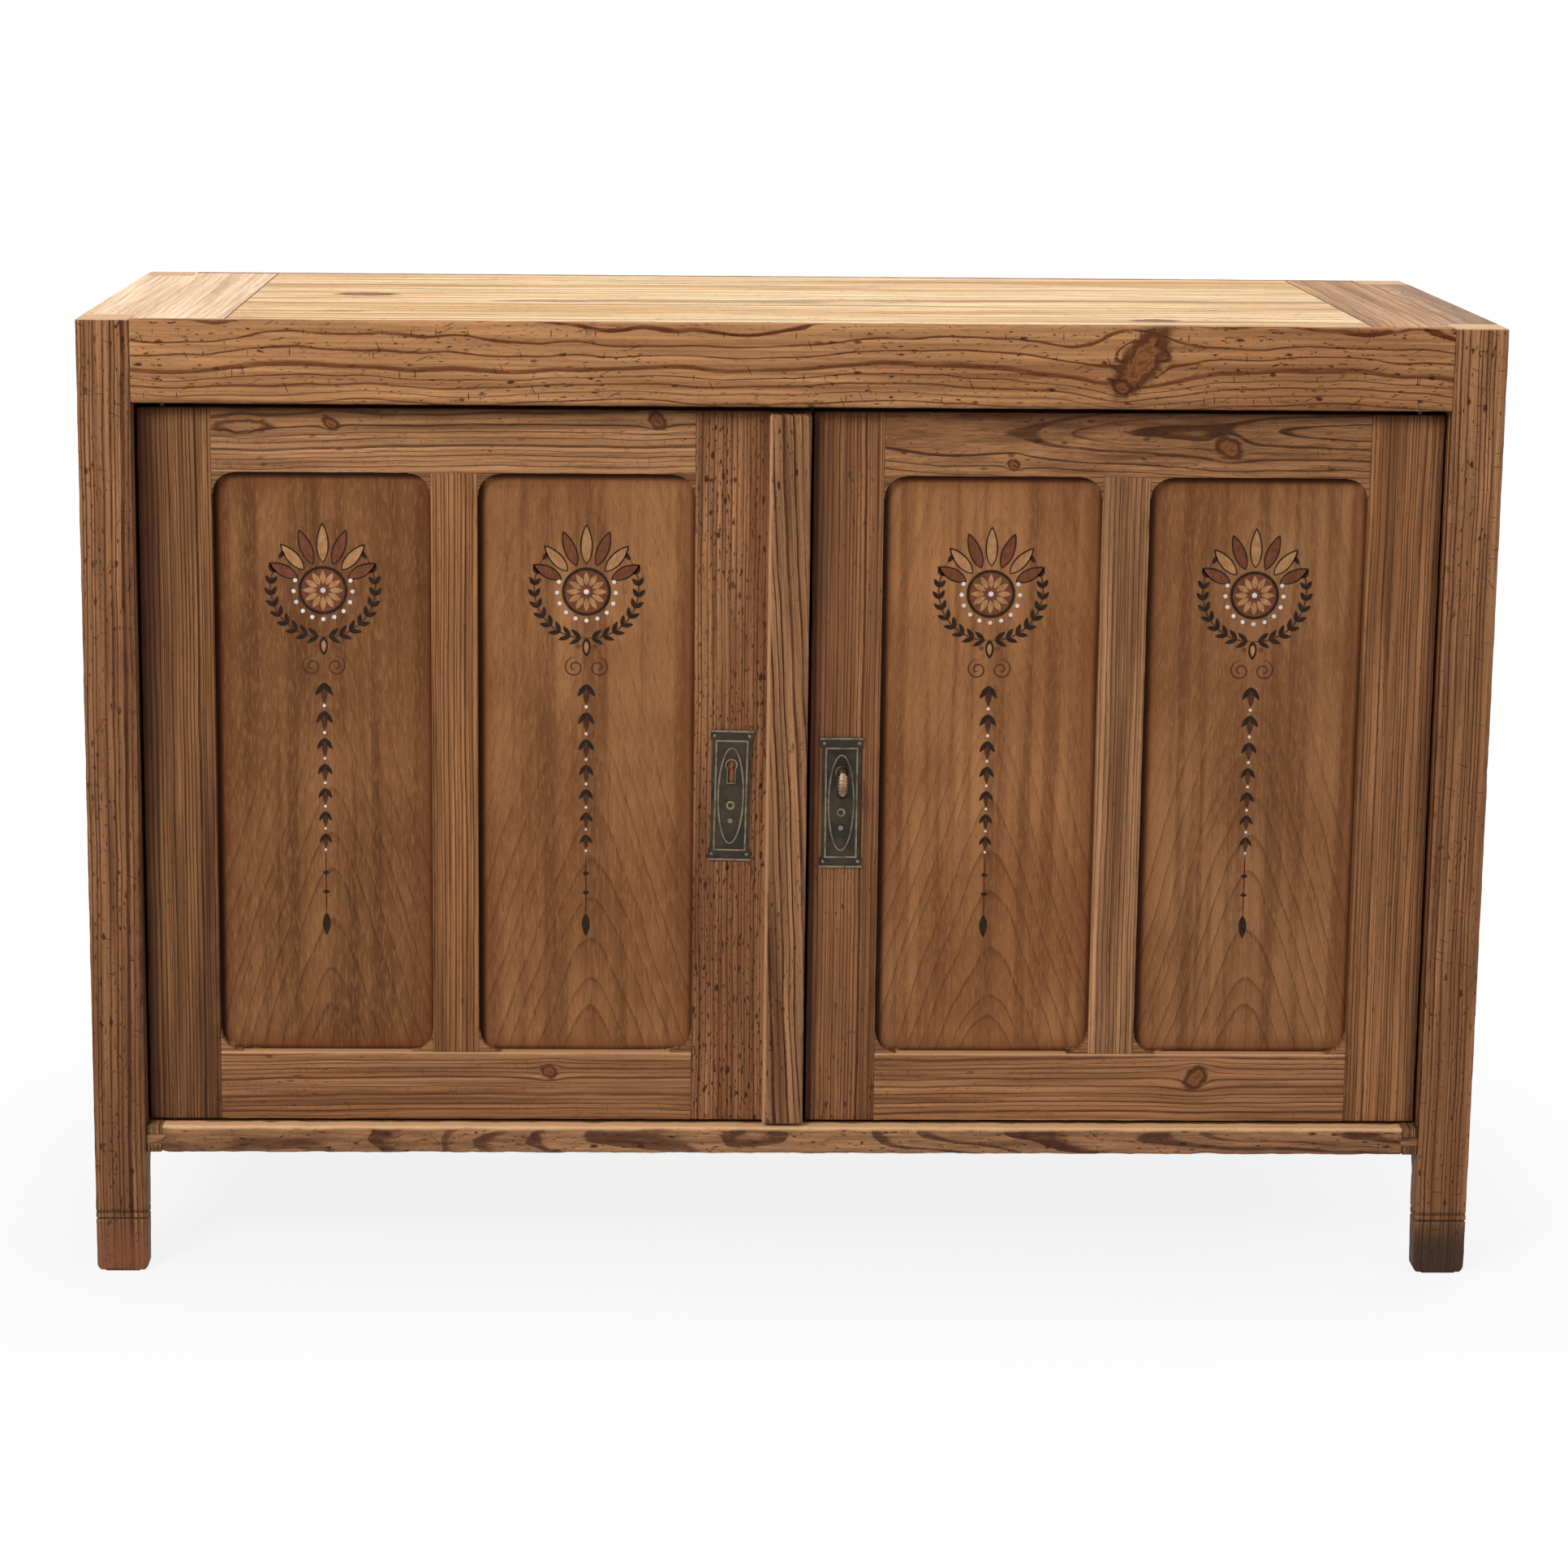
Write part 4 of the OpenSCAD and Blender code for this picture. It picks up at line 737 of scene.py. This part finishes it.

# Panels. Smooth honey-brown veneer with soft arched figure low down, a fine short pore and a darker rim
# along the frame that is painted shade, darkest under its upper and left edges as painted shadow.


def veneer(name, x0, x1, z0, z1, seed, tone):
    """Veneer for a panel between x0 and x1, z0 and z1. Arches are the rings of
    z + 3.4 sqrt(x**2 + 0.02**2) + noise, about 42 mm apart, and fade upwards. Streaks, silky flecks and
    pores lie over them. Painted shade darkens the rim by the distance to the frame, and painted shadow darkens
    it most under its upper left edges.
    tone scales its colours."""
    material, b, shader, where = new_finish(name)
    pale, warm, brown, dark = (paint(*(np.array(steps) * tone)) for steps in (
        (163, 115, 75), (130, 86, 53), (98, 61, 37), (80, 44, 24)))
    place = b.put("Mapping", {"Vector": where, "Location": (-(x0 + x1) / 2 - 0.006, seed * 1.7, -z0)})
    x, z = b.axis(place, 0), b.axis(place, 2)
    per_metre, slope, blunt = 24.0, 3.4, 0.0004
    slow = b.minus(b.noise(place, (9, 1, 4), 3.0), 0.5)
    bow = b.math("SQRT", b.plus(b.times(x, x), blunt))
    level = b.plus(b.times_plus(bow, slope, z), b.times(slow, 0.10))
    count = b.times(level, per_metre)
    part = b.fraction(b.times_plus(b.wander(b.times(count, 0.4), 2.0), 2.2, count))
    ring = b.times_plus(b.step(part, 0.76, 0.93), 0.6, b.times(part, 0.4))
    ring = b.times(ring, b.step(part, 0.95, 1.0, 1.0, 0.0))
    ring = b.times(ring, b.step(z, 0.16, 0.40, 1.0, 0.35))
    streak = b.noise(place, (70, 1, 2.2), 4.0)
    cloud = b.noise(place, (7, 1, 5), 3.0)
    pore = b.step(b.noise(place, (1300, 1, 90), 2.0), 0.58, 0.74)
    silk = b.step(b.noise(place, (420, 1, 75), 4.0), 0.46, 0.70, 0.0, 0.26)
    color = b.mix(b.step(cloud, 0.3, 0.7), pale, warm)
    color = b.mix(b.step(streak, 0.40, 0.68, 0.0, 0.7), color, brown)
    color = b.mix(b.times(ring, 0.58), color, dark)
    color = b.mix(silk, color, paint(172, 124, 82))
    color = b.mix(b.times(pore, 0.6), color, paint(84, 50, 31))
    real_x, real_z = b.axis(where, 0), b.axis(where, 2)
    left, right = b.minus(real_x, x0), b.minus(x1, real_x)
    foot, head = b.minus(real_z, z0), b.minus(z1, real_z)
    beside = b.least(left, right)
    edge = b.times_plus(slow, 0.006, b.least(beside, b.least(foot, head)))
    chip = b.step(b.noise(where, (130, 1, 190), 3.0), 0.53, 0.6)
    bare = b.times(chip, b.step(b.plus(foot, b.times(beside, 0.25)), 0.004, 0.012, 0.8, 0.0))
    # Rim colours: painted shade along the frame, and painted shadow under its upper and left edges.
    for share, tint in ((b.step(edge, 0.002, 0.022, 0.5, 0.0), (112, 62, 34)),
                        (b.step(edge, 0.000, 0.006, 0.8, 0.0), (50, 24, 10)),
                        (b.step(b.least(left, head), 0.003, 0.010, 0.85, 0.0), (42, 19, 7)),
                        (bare, (170, 128, 94))):
        color = b.mix(share, color, paint(*tint))
    relief = b.put("Bump", {"Height": b.minus(0.5, b.times(pore, 0.4)), "Distance": 0.0003, "Strength": 0.5})
    b.fill(shader, {"Base Color": color, "Roughness": b.times_plus(cloud, 0.15, 0.40),
                    "Specular IOR Level": 0.06, "Normal": relief})
    return material


panel_tones = {"left_outer": (0.84, 0.81, 0.77), "left_inner": (1.0, 0.99, 0.97),
               "right_inner": (1.05, 1.03, 1.01), "right_outer": (0.99, 0.99, 0.99)}
panels = []
for seed, part in enumerate(("left_outer", "left_inner", "right_outer", "right_inner")):
    side, place = part.split("_")
    node = part + "_panel"
    frame_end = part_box(side + ("_hinge_stile" if place == "outer" else "_lock_stile"))
    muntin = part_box(side + "_muntin")
    x0, x1 = ((frame_end[1][0], muntin[0][0]) if frame_end[0][0] < muntin[0][0]
              else (muntin[1][0], frame_end[0][0]))
    z0, z1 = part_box(side + "_bottom_rail")[1][2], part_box(side + "_top_rail")[0][2]
    keep_node(node, veneer(node, x0, x1, z0, z1, seed, panel_tones[part]), 0)
    panels.append((node, side + "_door", (x0 + x1) / 2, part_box(node)[0][1]))

# Inlay. Thin slips of dark, red and pale wood and pearl are let into each panel: a fan of petals over a
# round rosette with pearl beads, two laurel sprays that rise beside it, and a drop of bellflowers.


def slips(shapes, face_y, thick=0.0004):
    """Flat slips from outlines, each (k, 2) anticlockwise in X and Z: a front face, a back face and a rim."""
    points, faces = [], []
    count = 0
    for shape in shapes:
        n = len(shape)
        for y in (face_y, face_y + thick):
            points.append(np.stack([shape[:, 0], np.full(n, y), shape[:, 1]], 1))
        front = np.arange(count, count + n)
        back = front + n
        faces += [front.tolist(), back[::-1].tolist()]
        faces += np.stack([front, back, np.roll(back, -1), np.roll(front, -1)], 1).tolist()
        count += 2 * n
    return np.concatenate(points), faces


def disc(x, z, r, n=28):
    """Circle of radius r about (x, z)."""
    t = np.linspace(0, 2 * np.pi, n, endpoint=False)
    return np.stack([x + r * np.cos(t), z + r * np.sin(t)], 1)


def leaf(x, z, angle, length, width, sharp=1.0, n=14):
    """Leaf from (x, z) along angle, half as wide as width sin(pi s)**sharp (1.15 - 0.3 s) at share s."""
    s = np.linspace(0, 1, n)
    half = width / 2 * np.sin(np.pi * s) ** sharp * (1.15 - 0.3 * s)
    outline = np.concatenate([np.stack([s * length, -half], 1), np.stack([s * length, half], 1)[-2:0:-1]])
    c, d = math.cos(angle), math.sin(angle)
    return outline @ np.array([[c, d], [-d, c]]) + [x, z]


def ribbon(path, wide):
    """Band of the given width along a path, ending in points."""
    way = np.gradient(path, axis=0)
    way /= np.linalg.norm(way, axis=1, keepdims=True)
    off = np.stack([way[:, 1], -way[:, 0]], 1)
    share = np.linspace(0, 1, len(path))
    taper = np.minimum(1, 0.25 + 6 * np.minimum(share, 1 - share))
    off = off * (wide / 2 * taper)[:, None]
    return np.concatenate([path + off, (path - off)[::-1]])


def ray(reach, angle):
    """Point or points at a distance and an angle from the rosette's middle."""
    return np.stack([reach * np.cos(angle), reach * np.sin(angle)], -1)


def inlay_shapes():
    """Outlines of one panel's inlay about its middle line, z from the rosette's middle, by kind of slip."""
    black, brown, red, honey, pearl = [disc(0, 0, 0.0245, 48)], [], [disc(0, 0, 0.0215, 48)], [], []
    down = math.radians(-90)
    for k in range(12):
        t = 2 * math.pi * k / 12 + math.pi / 2
        honey.append(leaf(*ray(0.0065, t), t, 0.0135, 0.0056, 0.8))
        t += math.pi / 12
        brown.append(leaf(*ray(0.0125, t), t, 0.0082, 0.0026))
    black.append(disc(0, 0, 0.0072, 24))
    pearl.append(disc(0, 0, 0.0026, 16))
    for k in range(-5, 6):
        pearl.append(disc(*ray(0.0292, math.radians(-90 + k * 22)), 0.0021, 14))
    for k in range(-3, 4):
        t, size = math.radians(90 + k * 21), 0.038 - 0.0028 * abs(k)
        black.append(leaf(*ray(0.0275, t), t, size + 0.003, 0.0128, 0.7))
        (red if k % 2 else honey).append(leaf(*ray(0.0291, t), t, size - 0.0012, 0.0098, 0.7))
    for side in (-1, 1):
        s = np.linspace(0, 1, 40)
        angle = down + side * math.radians(126) * s
        stem = ray(0.047 + 0.007 * s, angle)
        brown.append(ribbon(stem, 0.0014)[::side])
        run = angle + side * math.pi / 2
        for k in range(2, 38, 4):
            for lean in (-0.62, 0.62):
                black.append(leaf(*stem[k], run[k] + lean, 0.0135 - 0.00012 * k, 0.0046, 0.8))
        black.append(leaf(*stem[-1], run[-1], 0.012, 0.0044, 0.8))
        red.append(disc(side * 0.0085, -0.0555, 0.0024, 14))
        curl = np.linspace(0, 1, 60)
        scroll = ray(0.0105 * (1 - 0.82 * curl), -down - side * math.radians(560) * curl)
        brown.append(ribbon(scroll + [side * 0.0118, -0.077], 0.0013)[::-side])
    black.append(leaf(0, -0.047, down, 0.019, 0.0085, 0.6))
    honey.append(leaf(0, -0.0505, down, 0.012, 0.0045, 0.6))
    z, size = -0.094, 1.0
    while z > -0.262:
        brown.append(leaf(0, z, down, 0.021 * size, 0.0066 * size, 0.7))
        for side in (-1, 1):
            black.append(leaf(0, z, math.radians(-90 + side * 34), 0.0155 * size, 0.0052 * size, 0.8))
        z -= 0.0245 * size
        pearl.append(disc(0, z + 0.0012 * size, 0.0013 * size + 0.0003, 12))
        z -= 0.0045
        size *= 0.945
    s = np.linspace(z + 0.002, z - 0.062, 12)
    brown.append(ribbon(np.stack([0 * s, s], 1), 0.0013))
    for k in (0.3, 0.62):
        black.append(leaf(-0.0035, z - 0.062 * k, 0, 0.007, 0.0042))
    black.append(leaf(0, z - 0.060, down, 0.024, 0.0078, 0.75))
    return {"black": black, "brown": brown, "red": red, "honey": honey, "pearl": pearl}


def slip_finish(name, tint, deep, rough, shine):
    """Finish of one kind of slip: two tones of its colour in fine upright grain."""
    material, b, shader, where = new_finish(name)
    grain = b.noise(where, (700, 1, 60), 3.0)
    patch = b.noise(where, (150, 1, 150), 2.0)
    share = b.step(b.times_plus(patch, 0.6, b.times(grain, 0.5)), 0.35, 0.75)
    b.fill(shader, {"Base Color": b.mix(share, paint(*tint), paint(*deep)), "Roughness": rough,
                    "Specular IOR Level": shine})
    return material


# Each row: how far the slip stands out of the panel, its two tones, roughness and shine.
slip_looks = {
    "black": (0.00026, (50, 35, 25), (30, 21, 15), 0.4, 0.1),
    "brown": (0.00022, (84, 50, 34), (60, 36, 25), 0.42, 0.1),
    "red": (0.00034, (118, 68, 44), (92, 52, 35), 0.42, 0.1),
    "honey": (0.00040, (176, 130, 88), (146, 102, 66), 0.42, 0.1),
    "pearl": (0.00046, (226, 218, 212), (184, 176, 182), 0.2, 0.6),
}
rosette_z = 0.703
slip_kinds = {kind: slip_finish("inlay_" + kind, *look) for kind, (_, *look) in slip_looks.items()}
shapes = inlay_shapes()
for node, body, middle_x, panel_y in panels:
    points, faces, kinds = [], [], []
    count = 0
    for index, (kind, outlines) in enumerate(shapes.items()):
        p, f = slips([shape + [middle_x, rosette_z] for shape in outlines], panel_y - slip_looks[kind][0])
        points.append(p)
        faces += [[v + count for v in face] for face in f]
        kinds += [index] * len(f)
        count += len(p)
    piece = mesh_piece(node + "_inlay", points, faces, body)
    for finish in slip_kinds.values():
        piece.data.materials.append(finish)
    piece.data.polygons.foreach_set("material_index", kinds)

# Lock plates, nails and key. Cast bronze plates, browned with age and rubbed bright on the raised lines,
# are nailed to the lock stiles. The right one is a real lock with a brass key in it.


def old_metal(name, deep, bright, face_y, rough, metal=0.85):
    """Aged metal: deep colour with cloudy patches, rubbed bright where it stands in front of face_y."""
    material, b, shader, where = new_finish(name)
    cloud = b.noise(where, (60, 60, 60), 4.0)
    grit = b.noise(where, (900, 900, 900), 2.0)
    front = b.times_plus(b.minus(cloud, 0.5), 0.0006, b.axis(where, 1))
    rub = b.times(b.step(front, face_y - 0.0009, face_y - 0.0003, 1.0, 0.0),
                  b.step(b.noise(where, (130, 130, 130), 3.0), 0.34, 0.6, 0.4, 0.9))
    tone = b.mix(b.step(cloud, 0.35, 0.7), paint(*deep), paint(*(v * 0.45 for v in deep)))
    b.fill(shader, {"Base Color": b.mix(rub, tone, paint(*bright)), "Metallic": metal,
                    "Roughness": b.times_plus(grit, 0.2, rough - 0.1),
                    "Normal": b.put("Bump", {"Height": grit, "Distance": 0.0002, "Strength": 0.4})})
    return material


lock_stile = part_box("left_lock_stile")
bronze = old_metal("aged_bronze", (56, 44, 29), (132, 118, 93), lock_stile[0][1] - 0.0016, 0.46, 0.45)
for node in ("left_lock_plate", "right_lock_plate", "left_plate_nails", "right_plate_nails"):
    keep_node(node, bronze, 0.0003)
low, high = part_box("key")
brass = old_metal("old_brass", (72, 54, 38), (152, 126, 98), low[1] + 0.004, 0.40)


def loop_skin(centre, half_y, half_z, band, half_x, ribs, around=130, across=24, grooves=26):
    """Oval loop: (half - band + band cos v) (cos u, sin u) in Y and Z, and half_x sin v along X. The grooves
    across it take off a share of up to ribs: 1 - ribs (1 + cos(grooves u)) / 2."""
    u, v = np.meshgrid(np.linspace(0, 2 * np.pi, around, endpoint=False),
                       np.linspace(0, 2 * np.pi, across, endpoint=False), indexing="ij")
    groove = ribs * (1 + np.cos(grooves * u)) / 2
    out = band * (np.cos(v) - 1) - 0.35 * band * groove
    points = np.stack([centre[0] + half_x * (1 - groove) * np.sin(v),
                       centre[1] + (half_y + out) * np.cos(u), centre[2] + (half_z + out) * np.sin(u)], -1)
    quads, caps = tube_faces(around, across, loop=True)
    return points.reshape(-1, 3), quads[:, ::-1], caps, np.zeros(around * across)


def round_bar(centre, profile, count=40):
    """Bar turned about a line along Y: each (y, r) of the profile gives a circle, and flat faces close it."""
    t = np.linspace(0, 2 * np.pi, count, endpoint=False)
    y, r = np.array(profile).T
    points = np.stack([centre[0] + r[:, None] * np.cos(t), y[:, None] + 0 * t,
                       centre[1] + r[:, None] * np.sin(t)], -1).reshape(-1, 3)
    return (points, *tube_faces(len(y), count), np.zeros(len(points)))


bow_wide, bow_tall, bow_thick, pipe, bore, bit_reach = 0.021, 0.033, 0.011, 0.003, 0.00155, 0.0095
key_x, key_z = (low[0] + high[0]) / 2, high[2] - bow_tall / 2
drilled_from, collar = lock_stile[1][1] + 0.001, low[1] + bow_wide - 0.001
bow_middle, band, ribs = (key_x, low[1] + bow_wide / 2, key_z), 0.0042, 0.16
bow = loop_skin(bow_middle, bow_wide / 2, bow_tall / 2, band, bow_thick / 2, ribs)
shank = round_bar((key_x, key_z), [
    (collar, 0.0036), (collar + 0.0004, 0.0042), (collar + 0.0015, 0.0045), (collar + 0.0026, 0.0042),
    (collar + 0.003, 0.0032), (collar + 0.0036, pipe), (high[1] - 0.0003, pipe), (high[1], pipe - 0.0003),
    (high[1], bore + 0.0002), (high[1] - 0.0002, bore), (drilled_from, bore)])
bit = plain_board((key_x - 0.0015, high[1] - 0.008, key_z - bit_reach),
                  (key_x + 0.0015, high[1] - 0.001, key_z - 0.0017), "z", step=0.002, arris=0.0003, seed=300)
dress("key", [bow, shank, bit], brass, "key_body", "_cast")
keep_node("pivot_bushes", brass, 0)
never_rubbed = -1.0
iron = old_metal("old_iron", (70, 66, 62), (96, 92, 88), never_rubbed, 0.5)
for node in ("left_pivot_pins", "right_pivot_pins", "lock_case", "lock_bolt", "lock_keeper", "slide_bolt",
             "bolt_staples"):
    keep_node(node, iron, 0.0004)

# Studio. A plain pale floor that runs into white, soft lamps above, left, right and behind, and the camera:
# a little left of the middle, above the top and looking down.


def seen_rays(b):
    """1 for rays that the camera sees, straight or mirrored or through glass, else 0."""
    rays = b.put("LightPath").node.outputs
    return b.most(b.most(rays["Is Camera Ray"], rays["Is Glossy Ray"]), rays["Is Transmission Ray"])


floor_half = 12
floor_mesh = bpy.data.meshes.new("floor")
floor_mesh.from_pydata([(x * floor_half, y * floor_half, 0) for x, y in ((-1, -1), (1, -1), (1, 1), (-1, 1))],
                       [], [(0, 1, 2, 3)])
floor = bpy.data.objects.new("floor", floor_mesh)
bpy.context.collection.objects.link(floor)
material, b, shader, where = new_finish("floor")
beside = b.vector("SUBTRACT", b.vector("ABSOLUTE", where), (cad_box[1][0], cad_box[1][1], 0))
far = b.vector("LENGTH", b.vector("MAXIMUM", beside, (0, 0, 0)), out=1)
b.fill(shader, {"Base Color": (0.72, 0.72, 0.72, 1), "Roughness": 0.9, "Specular IOR Level": 0.0})
white = b.put("Emission", {"Color": (1, 1, 1, 1), "Strength": 1.0})
share = b.times(b.step(far, 0.0, 0.35, 0.86, 1.0), seen_rays(b))
both = b.put("MixShader", {0: share, 1: shader.outputs[0], 2: white})
b.fill(material.node_tree.nodes["Material Output"], {"Surface": both})
floor_mesh.materials.append(material)

world = bpy.data.worlds.new("studio")
bpy.context.scene.world = world
world.use_nodes = True
b = Bench(world.node_tree)
b.fill(world.node_tree.nodes["Background"],
       {"Color": (1, 1, 1, 1), "Strength": b.times_plus(seen_rays(b), 0.66, 0.34)})


def soft_lamp(name, place, aim, wide, tall, power):
    """Rectangular soft lamp at place, facing aim."""
    data = bpy.data.lights.new(name, "AREA")
    data.shape = "RECTANGLE"
    data.size, data.size_y, data.energy = wide, tall, power
    lamp = bpy.data.objects.new(name, data)
    lamp.location = place
    lamp.rotation_euler = (Vector(aim) - Vector(place)).to_track_quat("-Z", "Y").to_euler()
    bpy.context.collection.objects.link(lamp)


soft_lamp("lamp_left", (-2.0, -2.8, 2.6), (0, 0, 0.5), 1.2, 1.2, 92)
soft_lamp("lamp_right", (2.8, -2.4, 1.6), (0, 0, 0.5), 1.8, 1.8, 14)
soft_lamp("lamp_top", (0.0, 0.1, 3.0), (0, 0, 0), 2.6, 1.8, 36)
soft_lamp("lamp_back", (2.6, 2.2, 1.8), (0, 0, 0.5), 2.0, 1.6, 46)

photo_px, lens_px, aim_px = 1932, 4200, (889, 686)
left_of_middle, before_face, eye_height = 0.135, 3.31, 1.329
pitch, roll, yaw = (math.radians(v) for v in (-10.02, -0.53, -1.13))
turn = Matrix.Rotation(yaw, 3, "Z") @ Matrix.Rotation(pitch, 3, "X") @ Matrix.Rotation(roll, 3, "Y")
data = bpy.data.cameras.new("camera")
data.sensor_width = 36
data.lens = lens_px / photo_px * data.sensor_width
data.shift_x = (photo_px / 2 - aim_px[0]) / photo_px
data.shift_y = (aim_px[1] - photo_px / 2) / photo_px
camera = bpy.data.objects.new("camera", data)
right, forward, up = turn.col
pose = Matrix((right, up, -forward)).transposed().to_4x4()
pose.translation = Vector((-left_of_middle, POST_LOW[1] - before_face, eye_height))
camera.matrix_world = pose
bpy.context.collection.objects.link(camera)
bpy.context.scene.camera = camera
bpy.context.scene.view_settings.view_transform = "Standard"
